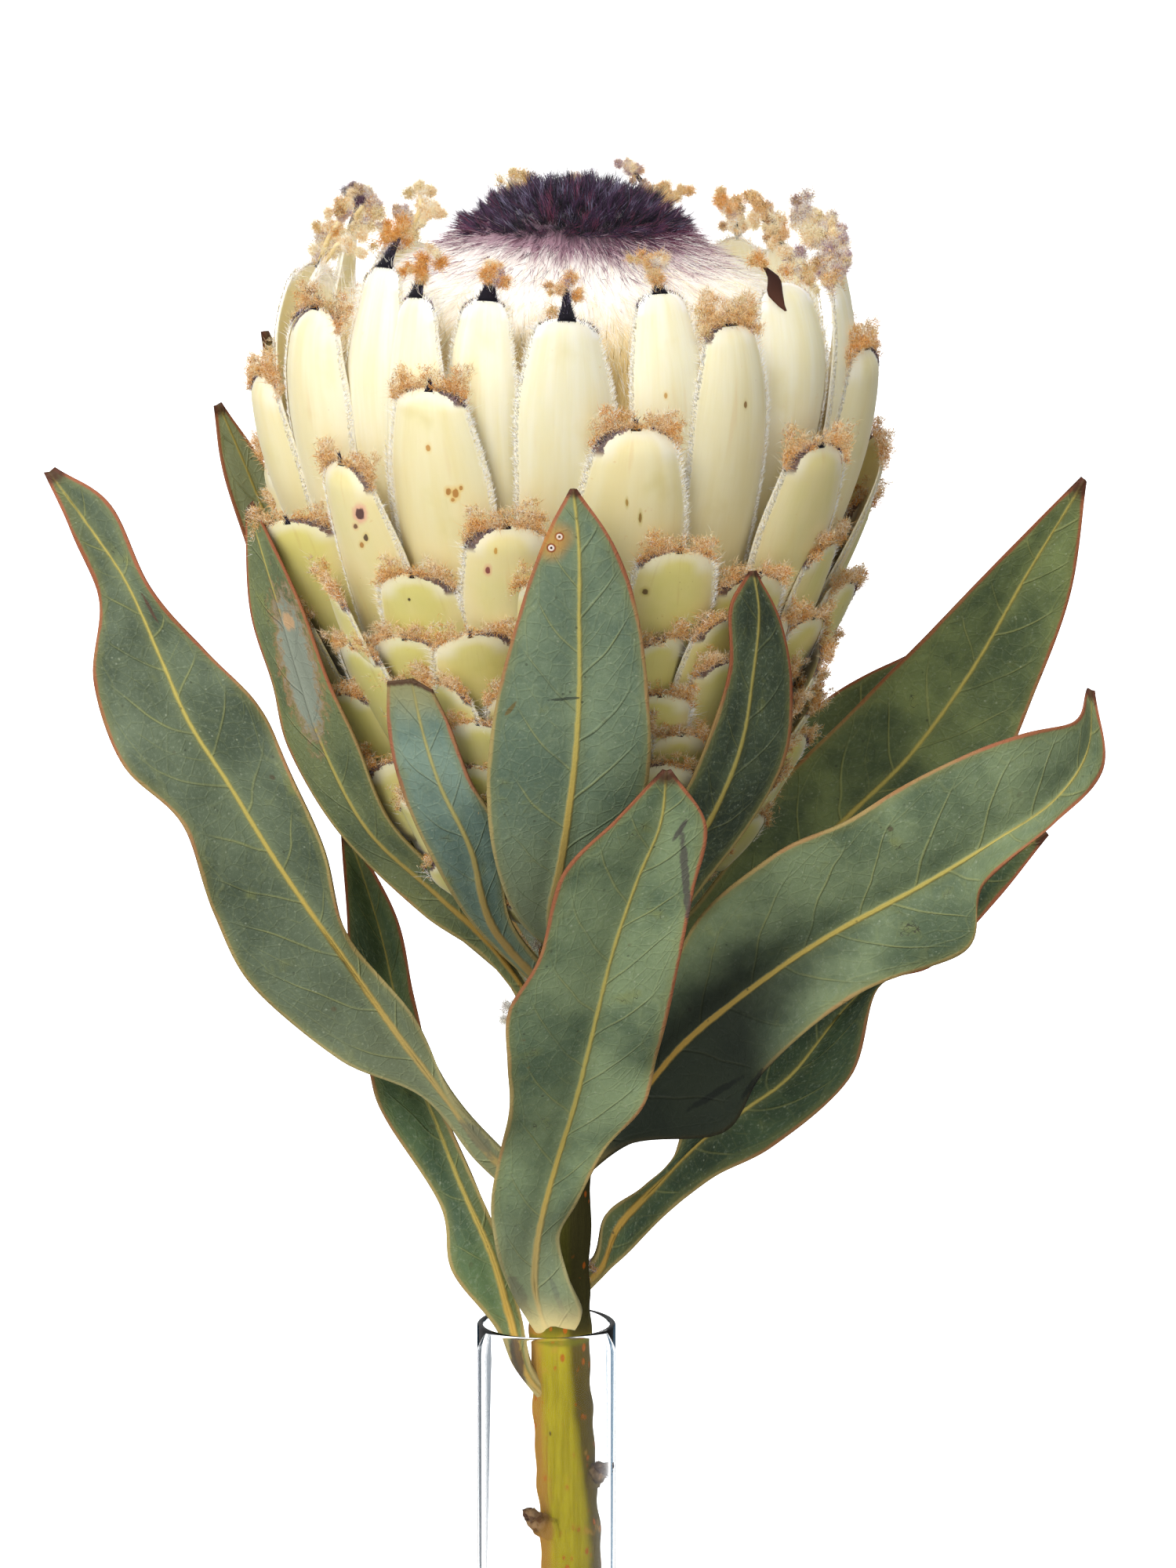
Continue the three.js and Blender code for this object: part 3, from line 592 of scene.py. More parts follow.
class Bract:
    """A bract's surface. x is across it from its middle line, d is the distance down from its tip."""

    def __init__(
        self, layer_number, degrees, tip_height, width, rng,
        crown=2.0, base_width=4.4, base_along=None, shoulder=0.6, taper=20.0, tip_round=0.24,
    ):
        self.layer = Layer(layer_number * LAYER_PITCH)
        self.azimuth = math.radians(degrees)
        self.width = width
        self.tip = float(self.layer.at_height(tip_height))
        self.base = float(self.layer.at_radius(POST_RADIUS + 0.7)) if base_along is None else base_along
        self.length = self.tip - self.base
        self.round = tip_round * width
        self.shoulder = shoulder
        self.taper = taper
        self.crown = crown * rng.uniform(0.85, 1.15)
        self.lean = rng.normal() * 0.35
        self.twist = rng.normal() * 0.035
        self.flare = rng.uniform(-0.1, 0.5) - 3.2 * float(smooth(-degrees, 68, 84)) * (tip_height > 112)
        self.heavy = rng.choice([-1.0, 1.0])
        self.base_width = base_width
        self.rng = rng

    def half(self, d):
        """Half the width at a distance from the tip."""
        full = mix(self.base_width, self.width, smooth(self.length - d, 0, 0.5 * self.length)) / 2
        narrow = mix(self.shoulder, 1.0, np.sin(np.clip(d / self.taper, 0, 1) * np.pi / 2) ** 1.2)
        inward = np.clip(1 - d / self.round, 0, 1)
        return full * narrow * np.sqrt(np.clip(1 - inward**2.2, 0, 1)) + 0.02

    def place(self, x, d, lift=0.0):
        x = np.asarray(x, float)
        d = np.asarray(d, float)
        along = self.tip - d
        near_tip = smooth(-d, -45, 0)
        across = x / (self.width / 2)
        crown = self.crown * mix(0.45, 1.0, near_tip) * np.clip(1 - across**2, -0.6, 1)
        crown -= 0.5 * smooth(-d, -self.round, 0) * self.crown
        out = crown + self.flare * near_tip + self.twist * x * near_tip * 8 + lift
        turn = (x + self.lean * near_tip * 2) / np.maximum(self.layer.radius(along), 8)
        return self.layer.place(self.azimuth + turn, along, out)

    def frame(self, x, d):
        """Directions across, towards the tip and outward at points of the surface."""
        here = self.place(x, d)
        across = unit(self.place(x + 0.2, d) - here)
        up = unit(self.place(x, d - 0.2) - here)
        return across, up, unit(np.cross(across, up))

    def sheet(self, shape, green, rows=34, columns=15, thickness=0.7, cell=(0.0, 0.0, 1.0, 1.0)):
        v = np.linspace(0, 1, rows)
        d = self.length * (1 - v) ** 1.5
        d[-1] = 0.05
        u = np.sin(np.linspace(-1, 1, columns) * np.pi / 2)
        grid_d = d[:, None] * np.ones(columns)
        half = self.half(d)
        grid_x = half[:, None] * u
        thick = thickness * (1 - 0.7 * u[None, :] ** 2) * np.ones((rows, 1)) / 2
        curl = -0.35 * np.abs(u[None, :]) ** 6 * np.ones((rows, 1))
        front = self.place(grid_x, grid_d, thick + curl)
        back = self.place(grid_x, grid_d, -thick + curl)
        tipness = np.clip(1 - grid_d / (self.round * 1.6), 0, 1)
        wide = self.shoulder * self.width / 2
        inward = np.clip(1 - grid_d / self.round, 0, 1)
        rim = (1 - np.sqrt((grid_x / wide) ** 2 + inward**2)) * min(wide, self.round * 1.3)
        tone = 0.5 + self.heavy * self.rng.uniform(0.2, 0.5)
        marks = np.stack(np.broadcast_arrays(rim, u[None, :], self.length - grid_d, tipness, green, tone), -1)
        sheet(shape, front, back, marks, marks, cell)

    def arc(self, phi, inset=0.0):
        """Points along the tip's rounded rim: phi is 0 at the tip and 1.57 at the shoulders."""
        d = self.round * (1 - np.cos(np.clip(phi, -1.5, 1.5)))
        x = np.sin(phi) * self.half(np.full_like(phi, self.round))
        return x * (1 - inset / self.width), d + inset


# Small brown and red marks on the front bracts: x, z, radius, height over width, colour and halo.
BRACT_SPOTS = [
    (-32.0, 284.5, 0.85, 1.4, "3c1c22", "e08c84"), (-32.8, 282.0, 0.4, 1.3, "6a4028", "e0b884"),
    (-31.0, 280.1, 0.42, 1.8, "4a3020", "dcc07c"), (-31.8, 278.6, 0.4, 1.4, "b07a34", "dcc07c"),
    (-16.5, 289.7, 0.55, 1.3, "a8702a", "e2bc6c"), (-15.3, 289.4, 0.6, 1.6, "ae7630", "e2bc6c"),
    (-14.4, 290.4, 0.35, 1.4, "b07a34", "e2bc6c"), (-15.8, 288.2, 0.4, 1.0, "b88240", "e2bc6c"),
    (-20.0, 297.3, 0.42, 1.6, "c08a40", "e8cf90"), (-9.8, 276.0, 0.5, 1.5, "7a2c30", "dda07c"),
    (-8.4, 279.6, 0.35, 2.0, "c0903c", "e2cc86"), (-23.5, 269.5, 0.28, 1.2, "3a2818", "ccc070"),
    (34.7, 303.8, 0.3, 2.4, "8a6434", "dccc92"), (20.9, 306.1, 0.35, 1.6, "c49a52", "ecd8a0"),
    (16.5, 285.4, 0.3, 3.4, "8c6a2c", "cdbb70"), (14.2, 288.2, 0.25, 3.0, "a8823a", "cdbb70"),
    (17.4, 271.8, 0.6, 1.0, "5c4222", "bdaa5c"),
]


def bract_spots(paint, where):
    x, y, z = paint.split(where)
    ragged = (paint.noise(where, 0.8, 2.0) - 0.5) * 0.7
    front = paint.ramp_up(y, -8.0, -14.0)
    for spot_x, spot_z, radius, tall, dark, halo in BRACT_SPOTS:
        dx = x - spot_x
        dz = (z - spot_z) / tall
        far = paint.math("SQRT", dx * dx + dz * dz) / radius + ragged
        paint.over(paint.ramp_up(far, 2.1, 0.9) * front * 0.6, halo)
        paint.over(paint.ramp_up(far, 1.05, 0.7) * front * 0.9, dark)


def skin_paint(name, cream, pale, leafy, shade, stain, gap_shade, dark_rim=True):
    """A bract's silky skin: cream, warmer lower down, with fine lines, white margins, a dark rim and painted
    shade in the gaps between bracts.
    """
    paint = Paint(name)
    rim, u, along = paint.marks("mark_a")
    tipness, green, tone = paint.marks("mark_b")
    where = paint.place()
    _, _, z = paint.split(where)
    lines = paint.noise(paint.vector(u * 2.6, along * 0.03, tone * 40.0), 1.0, 3.0, 0.55)
    fine = paint.noise(paint.vector(u * 30.0, along * 0.12, tone * 90.0), 1.0, 2.0, 0.6)
    cloud = paint.noise(where, 9.0, 3.0)
    leafiness = paint.ramp_up(green + (cloud - 0.5) * 0.9 - paint.ramp_up(abs(u), 0.35, 1.0) * 0.45, 0.15, 1.0)
    paint.colour = paint.mix(paint.ramp_up(lines, 0.3, 0.7), cream, pale)
    warm = paint.ramp_up(z + (cloud - 0.5) * 16.0, HEAD_BASE + 116.0, HEAD_BASE + 66.0)
    paint.over(warm * 0.7, "e4d092")
    paint.over(leafiness, leafy)
    paint.over(paint.ramp_up(fine, 0.55, 0.8) * 0.1, shade)
    paint.over(paint.ramp_up(cloud, 0.56, 0.8) * 0.3, shade)
    blot = paint.ramp_up(paint.noise(where, 3.2, 4.0, 0.65), 0.68, 0.76)
    paint.over(blot * 0.45, stain)
    streak = paint.ramp_up(paint.noise(paint.vector(u * 4.0, along * 0.05, tone * 17.0), 1.0, 2.0), 0.64, 0.76)
    paint.over(streak * 0.2, stain)
    speck = paint.cells(paint.vector(u * 9.0, along * 0.55, tone * 31.0), 1.0)
    speckle = paint.ramp_up(speck, 0.11, 0.05) * paint.ramp_up(paint.noise(where, 14.0), 0.6, 0.68)
    paint.over(speckle * 0.6, "8a5c3a")
    bract_spots(paint, where)
    white = paint.ramp_up(abs(u) + (fine - 0.5) * 0.14, 0.86, 0.94) * paint.ramp_up(tipness, 0.8, 0.4)
    # Painted shade: the skin darkens where neighbouring bracts and hairs crowd close, as in the gaps between
    # bracts.
    gap = paint.ramp_up(paint.nearness(4.0), 0.3, 0.85) * (1.0 - white)
    paint.over(gap * 0.75, gap_shade)
    downy = paint.noise(where, 0.5, 2.0, 0.6)
    paint.over(white * (0.2 + paint.ramp_up(downy, 0.4, 0.6) * 0.4), "faf6e8")
    silk = paint.ramp_up(rim + (cloud - 0.5) * 1.5, 3.4, 1.2) * paint.ramp_up(tipness, 0.05, 0.5)
    paint.over(silk * 0.45, "f2ede0")
    if dark_rim:
        lopsided = 0.85 - (tone - 0.5) * u * 4.2
        grain = (paint.noise(where, 1.3, 3.0) - 0.5) * 1.5 + (paint.noise(where, 0.35, 1.0) - 0.5) * 0.9
        ragged = rim + grain + lopsided + (1.0 - tipness) * 0.9
        dark = paint.ramp_up(ragged, 1.35, 1.0) * paint.ramp_up(tipness, 0.25, 0.45)
        hue = paint.mix(paint.ramp_up(paint.noise(where, 1.2), 0.4, 0.6), "3c2230", "5e382e")
        hue = paint.mix(paint.ramp_up(paint.noise(where, 0.45), 0.56, 0.66) * 0.5, hue, "94808c")
        paint.over(dark * 0.92, hue)
    else:
        outline = paint.ramp_up(rim, 0.9, 0.3) * paint.ramp_up(tipness, 0.1, 0.4)
        paint.over(outline * 0.8, "f9f6ee")
    normal = paint.bump(lines * 0.12 + fine * 0.02, 0.6)
    sheen = {"Sheen_Weight": 0.3, "Sheen_Roughness": 0.35, "Specular_IOR_Level": 0.35}
    skin = paint.finish(paint.colour, 0.5, normal, **sheen)
    paint.shader.inputs["Subsurface Weight"].default_value = 0.35
    paint.shader.inputs["Subsurface Radius"].default_value = (1.0, 0.85, 0.5)
    paint.shader.inputs["Subsurface Scale"].default_value = 1.6 * MM
    return skin


# ---- what grows on a bract's tip and margins ----

# Mixes of hair tones, as shares.
SHADES = {
    "fuzz": {"tan": 4, "orange": 2.5, "pale_tan": 4, "pink_tan": 1.5},
    "core": {"tan": 4, "pale_tan": 3},
    "gold": {"straw": 4, "orange": 1.5, "tan": 2, "brown": 0.8},
    "bright": {"bright": 4, "orange": 3, "straw": 1.5, "brown": 0.8},
    "orange": {"orange": 4, "tan": 2, "straw": 1.5, "pale_tan": 2, "brown": 0.9},
    "rosy": {"orange": 2, "pink_tan": 3, "tan": 1.5, "straw": 1.5, "brown": 0.9},
    "tan": {"tan": 3, "orange": 0.7, "pale_tan": 2.5, "straw": 2.5, "brown": 1, "mauve": 0.7},
    "straw": {"straw": 4, "pale_tan": 2.5, "cream": 2.5, "brown": 0.6, "mauve": 0.6},
    "mauve": {"mauve": 3, "wool": 3.5, "tan": 1.2, "brown": 1, "straw": 1},
    "plum": {"plum": 3, "wine": 2, "mauve": 1},
    "pale": {"pale_tan": 4, "cream": 1.5, "white": 1},
    "wool": {"white": 4, "wool": 3, "rose": 2, "cream": 2},
}


# The hairs of a ball of fuzz, and how high a beard of size 1 stands.
BALL_HAIR = 1.3
BALL_HAIR_WIDTH = 0.09
BEARD_HEIGHT = 4.2


def cores(fur, centre, way, tall, wide, tones):
    """Soft uneven balls, drawn out along their directions, for the fuzz to stand on."""
    rng = fur.rng
    m, rings, sides = len(centre), 6, 9
    side = unit(np.cross(way, fur.scatter(m)))
    other = np.cross(way, side)
    polar = np.linspace(0.32, np.pi - 0.32, rings)
    turn = np.arange(sides) * 2 * np.pi / sides
    shape = np.stack(
        [
            (np.sin(polar)[:, None] * np.cos(turn)).ravel(),
            (np.sin(polar)[:, None] * np.sin(turn)).ravel(),
            (-np.cos(polar)[:, None] * np.ones(sides)).ravel(),
        ],
        -1,
    )
    shape = np.vstack([shape, [0, 0, -1.0], [0, 0, 1.0]])
    lumpy = rng.uniform(0.78, 1.22, (m, len(shape)))[..., None] * shape
    around = lumpy[..., :1] * side[:, None] + lumpy[..., 1:2] * other[:, None]
    points = centre[:, None] + wide[:, None, None] * around
    points = points + tall[:, None, None] * lumpy[..., 2:] * way[:, None]
    quads, tris = [], []
    for k in range(sides):
        k2 = (k + 1) % sides
        tris.append([rings * sides, k2, k])
        tris.append([rings * sides + 1, (rings - 1) * sides + k, (rings - 1) * sides + k2])
        for i in range(rings - 1):
            quads.append([i * sides + k, i * sides + k2, (i + 1) * sides + k2, (i + 1) * sides + k])
    first = np.arange(m)[:, None, None] * len(shape)
    low = (np.broadcast_to(tones, (m,)) + 0.3) / len(HAIR)
    rise = 0.12 + 0.5 * (shape[:, 2] + 1) / 2
    swing = (shape[:, 0] + 1) / 2
    groups = []
    for faces in (np.array(quads), np.array(tris)):
        x = low[:, None, None] + 0.4 * swing[faces][None] / len(HAIR)
        groups.append(copies(faces, first, x, np.broadcast_to(rise[faces][None], x.shape)))
    fur.shape.add(points, groups)


def tuft(fur, base, direction, length, radius, per, shades, core):
    """Cottony lumps of curled hairs: each stands on its base, drawn out along its direction."""
    rng = fur.rng
    m = len(base)
    way = unit(direction + fur.scatter(m, 0.12))
    tall = length * 0.5 + 0.2
    centre = base + way * tall[:, None] * 0.9
    tones = fur.tones(m, **SHADES[core])
    cores(fur, centre - way * tall[:, None] * 0.15, way, tall * 0.2, radius * 0.2, tones)
    which = np.repeat(np.arange(m), per)
    n = len(which)
    out = unit(fur.scatter(n))
    along = np.sum(out * way[which], axis=1)[:, None] * way[which]
    reach = rng.uniform(0.03, 1.0, (n, 1)) ** 0.8 * rng.uniform(0.8, 1.1, (n, 1))
    root = centre[which] + ((out - along) * radius[which, None] + along * tall[which, None]) * reach
    own = fur.tones(m, **SHADES[shades])[which]
    tones = np.where(rng.uniform(size=n) < 0.4, own, fur.tones(n, **SHADES[shades]))
    lengths = BALL_HAIR * rng.uniform(0.4, 1.3, n)
    lay = fur.scatter(n, 0.8) + out * 1.1 + way[which] * 0.4
    root = root - unit(lay) * lengths[:, None] * 0.4
    widths = BALL_HAIR_WIDTH * rng.uniform(0.7, 1.3, n)
    fur.add(root, lay, lengths, widths, fur.scatter(n, 0.35), tones, 3, 0.2)


def beard(fur, bract, size, per=80, shades="fuzz"):
    """Cotton along the tip's rim: curled hairs that fill uneven clouds, with a dip at the point."""
    rng = fur.rng
    n = 24 * per
    peaks = np.array([-rng.uniform(0.45, 0.95), rng.uniform(0.45, 0.95), rng.uniform(-1.2, 1.2)])
    heights = np.array([rng.uniform(0.6, 1.0), rng.uniform(0.6, 1.0), rng.uniform(0.3, 0.6)])
    spread = rng.uniform(0.2, 0.34, 3)
    which = rng.choice(3, n, p=[0.42, 0.42, 0.16])
    stray = rng.uniform(size=n) < 0.25
    phi = np.where(stray, rng.uniform(-1.3, 1.3, n), peaks[which] + spread[which] * rng.normal(size=n))
    phi = np.clip(phi, -1.4, 1.4)
    bulk = 0.22 + np.max(heights * np.exp(-(((phi[:, None] - peaks) / 0.4) ** 2)), axis=1)
    bulk = bulk * smooth(-np.abs(phi), -1.45, -1.05)
    rise = rng.uniform(0, 1, n) ** 1.35 * bulk * BEARD_HEIGHT * size
    x, d = bract.arc(phi, 0.0)
    across, up, out = bract.frame(x, d)
    cell = np.floor(phi * 4.5 + 9).astype(int) * 5 + np.clip(np.floor(rise * 1.1), 0, 4).astype(int)
    drift = fur.scatter(100)[cell] * 0.55
    spot = fur.scatter(n) * np.array([0.3, 0.25, 0.45]) * size
    root = bract.place(x, d, 0.35) + across * (spot[:, :1] + np.sin(phi)[:, None] * rise[:, None] * 0.35)
    root = root + up * (rise[:, None] + spot[:, 1:2]) + out * (rise[:, None] * 0.28 + spot[:, 2:])
    root = root + drift * np.minimum(rise, 1)[:, None]
    direction = up * 0.5 + out * 0.35 + fur.scatter(n, 0.8)
    shared = fur.tones(100, **SHADES[shades])[cell]
    high = rise > 0.62 * bulk * BEARD_HEIGHT * size
    own = np.where(high, fur.tones(n, **SHADES["pale"]), fur.tones(n, **SHADES[shades]))
    tones = np.where(rng.uniform(size=n) < 0.5, shared, own)
    lengths = 1.15 * size**0.5 * rng.uniform(0.5, 1.2, n)
    fur.add(root, direction, lengths, 0.1, fur.scatter(n, 0.45), tones, 2, 0.12)
    corner_hairs(fur, bract, int(50 * size))


def corner_hairs(fur, bract, count):
    """Long pale hairs that spread from the tip's shoulders over its neighbours."""
    rng = fur.rng
    side = rng.choice([-1.0, 1.0], count)
    d = bract.round * 0.7 + rng.uniform(0, 4.5, count)
    x = side * bract.half(d) * 0.97
    across, up, out = bract.frame(x, d)
    direction = across * side[:, None] + up * rng.uniform(0.2, 1.0, (count, 1)) + out * 0.3
    direction = direction + fur.scatter(count, 0.2)
    tones = fur.tones(count, white=4, cream=3, pale_tan=2)
    lengths = rng.uniform(0.9, 2.6, count)
    fur.add(bract.place(x, d, 0.1), direction, lengths, 0.09, fur.scatter(count, 0.25), tones, 3)


def rim_band(fur, bract, count, length=0.8):
    """Short dark hairs along the rounded rim of the tip, most of them on one side of it."""
    rng = fur.rng
    most = rng.uniform(size=count) < 0.72
    phi = np.where(most, rng.uniform(0.1, 1.3, count), -rng.uniform(0.25, 1.0, count)) * bract.heavy
    x, d = bract.arc(phi, 0.0)
    d = d + rng.uniform(0.0, 1.0, count) ** 1.5 * np.where(phi * bract.heavy > 0, 1.3, 0.6)
    x = np.sign(x) * np.minimum(np.abs(x), bract.half(d) * 0.97)
    across, up, out = bract.frame(x, d)
    direction = across * np.sin(phi)[:, None] * 0.7 + up + out * rng.uniform(0.1, 0.6, (count, 1))
    direction = direction + fur.scatter(count, 0.25)
    tones = fur.tones(count, black=1.5, plum=3, umber=2, steel=2, wine=1.5, mauve=1.5, rose=0.8)
    lengths = length * rng.uniform(0.5, 1.2, count)
    fur.add(bract.place(x, d, 0.2), direction, lengths, 0.11, fur.scatter(count, 0.15), tones)


def claw(fur, bract, width, length, bend=0.1, lean=0.0, tone="black"):
    """The bract's dark point: a flat tapered spike that rises from the middle of its tip."""
    rng = fur.rng
    x = np.array([rng.normal() * 0.2])
    d = np.array([0.8])
    across, up, out = bract.frame(x, d)
    root = bract.place(x, d, 0.2)
    sway = across * lean + out * bend
    segments = 10
    t = np.linspace(0, 1, segments + 1)[:, None]
    path = root + (up * t + sway * t**2) * length
    radii = width / 2 * (0.26 + 0.74 * (1 - t[:, 0]) ** 1.7)
    radii[-1] *= 0.5
    tube(fur.shape, path, radii, 10, cell=tone_cell(tone, 0.1, 0.8), squash=(across[0], out[0] * 0.42))
    n = int(150 * length / 4 * width / 3)
    rise = rng.uniform(-0.05, 0.9, n)
    wide = width / 2 * (0.26 + 0.74 * (1 - np.clip(rise, 0, 1)) ** 1.7)
    shift = rng.uniform(-1, 1, n) * wide
    middle = root + (up * rise[:, None] + sway * (rise**2)[:, None]) * length
    start = middle + across * shift[:, None] + out * 0.2
    aside = across * (shift / np.maximum(wide, 0.1))[:, None]
    direction = up + out * rng.uniform(-0.1, 0.5, (n, 1)) + aside * 0.5
    direction = direction + fur.scatter(n, 0.2)
    tones = fur.tones(n, black=4, steel=3, plum=1.5)
    fur.add(start, direction, rng.uniform(0.5, 1.2, n), 0.1, fur.scatter(n, 0.1), tones)
    return path[-1], unit(up + sway * 2)[0]


def puff(fur, centre, radius, count, shades, core="core"):
    """A loose uneven ball of curly fuzz, made of four lumps."""
    spread = fur.rng.normal(size=(4, 3)) * radius * 0.42
    base = np.asarray(centre, float)[None] + spread - np.array([[0, 0, radius * 0.6]])
    up = unit(spread + UP)
    lumps = fur.rng.uniform(0.5, 0.85, 4) * radius
    tuft(fur, base, up, lumps * 2.0, lumps, int(count * 0.62), shades, core)


def stalk(fur, bract, reach, radius, tone, shades):
    """A thin twisted awn from the bract's tip, with loose fuzz on it and a ball of fuzz at its end."""
    rng = fur.rng
    across, up, out = bract.frame(np.array([0.0]), np.array([0.6]))
    root = bract.place(np.array([0.0]), np.array([0.6]), 0.1)
    t = np.linspace(0, 1, 15)[:, None]
    side, tall = reach
    phase = rng.uniform(0, 6)
    wave = across * np.sin(t * 7 + phase) * 0.5 + out * np.cos(t * 6 + phase) * 0.4
    line = np.array([[side, 0.0, tall]])
    path = root + line * t + up * tall * 0.25 * np.sin(t * np.pi) + wave * np.sin(t * np.pi)
    tube(fur.shape, path, 0.55 - 0.2 * t[:, 0], 7, cell=tone_cell(tone, 0.1, 0.9))
    n = int(26 * np.hypot(side, tall))
    spot = rng.uniform(0.1, 1, n)
    start = np.stack([np.interp(spot, t[:, 0], path[:, k]) for k in range(3)], -1)
    tones = fur.tones(n, straw=2, pale_tan=3, wool=2, tan=1, white=1.5)
    fur.add(start, fur.scatter(n) + up, rng.uniform(0.6, 1.5, n), 0.09, fur.scatter(n, 0.3), tones, 3, 0.1)
    puff(fur, path[-1], radius, 560, shades)
    for k in (5, 8, 11):
        side_puff = path[k] + rng.normal(size=3) * 0.6
        size = radius * rng.uniform(0.5, 0.95)
        puff(fur, side_puff, size, 260, rng.choice(["pale", "straw", "mauve", shades]))


def fringe(fur, bract, first, last, per_mm=22, length=1.25):
    """Silky white hairs that make a downy band of both side margins."""
    rng = fur.rng
    for side in (-1, 1):
        n = int((last - first) * per_mm)
        d = first + (last - first) * rng.uniform(0, 1, n)
        x = side * bract.half(d) * rng.uniform(0.88, 1.0, n) ** 0.8
        across, up, out = bract.frame(x, d)
        aside = across * side * rng.uniform(0.3, 1.2, (n, 1))
        direction = aside + up * 0.8 + out * rng.uniform(0.0, 0.4, (n, 1))
        direction = direction + fur.scatter(n, 0.15)
        fade = 1 - 0.35 * (d - first) / (last - first)
        tones = fur.tones(n, white=7, cream=2, silk=1, wool=0.4)
        lengths = length * fade * rng.uniform(0.35, 1.1, n)
        fur.add(bract.place(x, d, 0.1), direction, lengths, 0.1, fur.scatter(n, 0.16), tones)


def wisps(fur, bract, count, length=4.0, inward=0.4):
    """Loose pale and mauve wool that stands about the tip."""
    rng = fur.rng
    phi = rng.uniform(-1.4, 1.4, count)
    x, d = bract.arc(phi, 0.6)
    across, up, out = bract.frame(x, d)
    direction = across * np.sin(phi)[:, None] * 0.7 + up - out * rng.uniform(-0.3, 0.3 + inward, (count, 1))
    direction = direction + fur.scatter(count, 0.35)
    tones = fur.tones(count, wool=2, white=4, rose=1.2, cream=2, pale_tan=1)
    lengths = length * rng.uniform(0.4, 1.1, count)
    fur.add(bract.place(x, d, -0.2), direction, lengths, 0.1, fur.scatter(count, 0.35), tones, 3, 0.12)


# ---- the free bracts ----

# Degrees from the front, tip height and width of each bract.
BRACTS = {
    "bract_inner": [
        (-83, 120, 15), (-43, 123, 14), (-16.5, 119, 13), (22.5, 120, 14), (53, 119, 15),
        (89, 121, 14), (124, 118, 15), (160, 122, 14), (196, 120, 15), (235, 121, 14),
    ],
    "bract_middle": [
        (-104, 118, 17), (-58, 114.5, 19.5), (-30, 119, 15), (0.5, 116, 18), (34, 114, 16),
        (72, 118, 17), (106, 121, 16), (142, 118, 17), (178, 120, 16), (214, 117, 17),
    ],
    "bract_outer": [
        (-108, 98, 19), (-77, 101, 19.5), (-24.5, 104, 20), (13, 98, 20), (74, 106, 19),
        (110, 102, 20), (148, 105, 20), (186, 100, 20), (222, 106, 20),
    ],
    "bract_low": [
        (-95, 84, 19), (-43, 90, 19), (-11, 81, 19), (53, 92, 19), (88, 88, 19),
        (124, 91, 19), (160, 86, 19), (196, 90, 19), (232, 85, 19),
    ],
}
# Each skin's colours: cream, pale, leafy, shade, stain and the painted shade in the gaps between bracts.
AWNED = skin_paint("bract_awned", "eee5be", "f5f0d8", "e2d99c", "dcca8c", "e0bd80", "c8a868", False)
CREAM = skin_paint("bract_cream", "eadeb2", "f3ebcc", "dfd594", "d8c07e", "deb478", "bf9a55")
YELLOW = skin_paint("bract_yellow", "ebddac", "f2e9c6", "dcd28c", "cfba74", "d8aa68", "b08c48")
GREEN = skin_paint("scale_green", "e4d696", "eee4b6", "d2c976", "b8a258", "b0843e", "5c4628")

# How each tip of the two upper rows ends, with the sideways lean of its point and the fuzz's shades.
TIPS = {
    "bract_inner_1": ("stalked", -0.1, "gold"),
    "bract_inner_2": ("awn", 0.1, "bright"),
    "bract_inner_3": ("awn", 0.05, "orange"),
    "bract_inner_4": ("low_awn", -0.1, "rosy"),
    "bract_inner_5": ("folded", 0.0, "rosy"),
    "bract_inner_6": ("woolly", 0.1, "mauve"),
    "bract_inner_7": ("stalked", 0.1, "tan"),
    "bract_inner_8": ("stalked", -0.1, "orange"),
    "bract_inner_9": ("stalked", 0.1, "straw"),
    "bract_inner_10": ("stalked", 0.1, "bright"),
    "bract_middle_1": ("stalked", 0.0, "straw"),
    "bract_middle_2": ("beard", 0.0, "rosy"),
    "bract_middle_3": ("awn", 0.0, "bright"),
    "bract_middle_4": ("awn", -0.02, "rosy"),
    "bract_middle_5": ("tall_beard", 0.0, "tan"),
    "bract_middle_6": ("woolly", 0.1, "tan"),
    "bract_middle_7": ("woolly", -0.1, "mauve"),
    "bract_middle_8": ("stalked", 0.1, "tan"),
    "bract_middle_9": ("beard", 0.0, "tan"),
    "bract_middle_10": ("stalked", 0.15, "straw"),
}
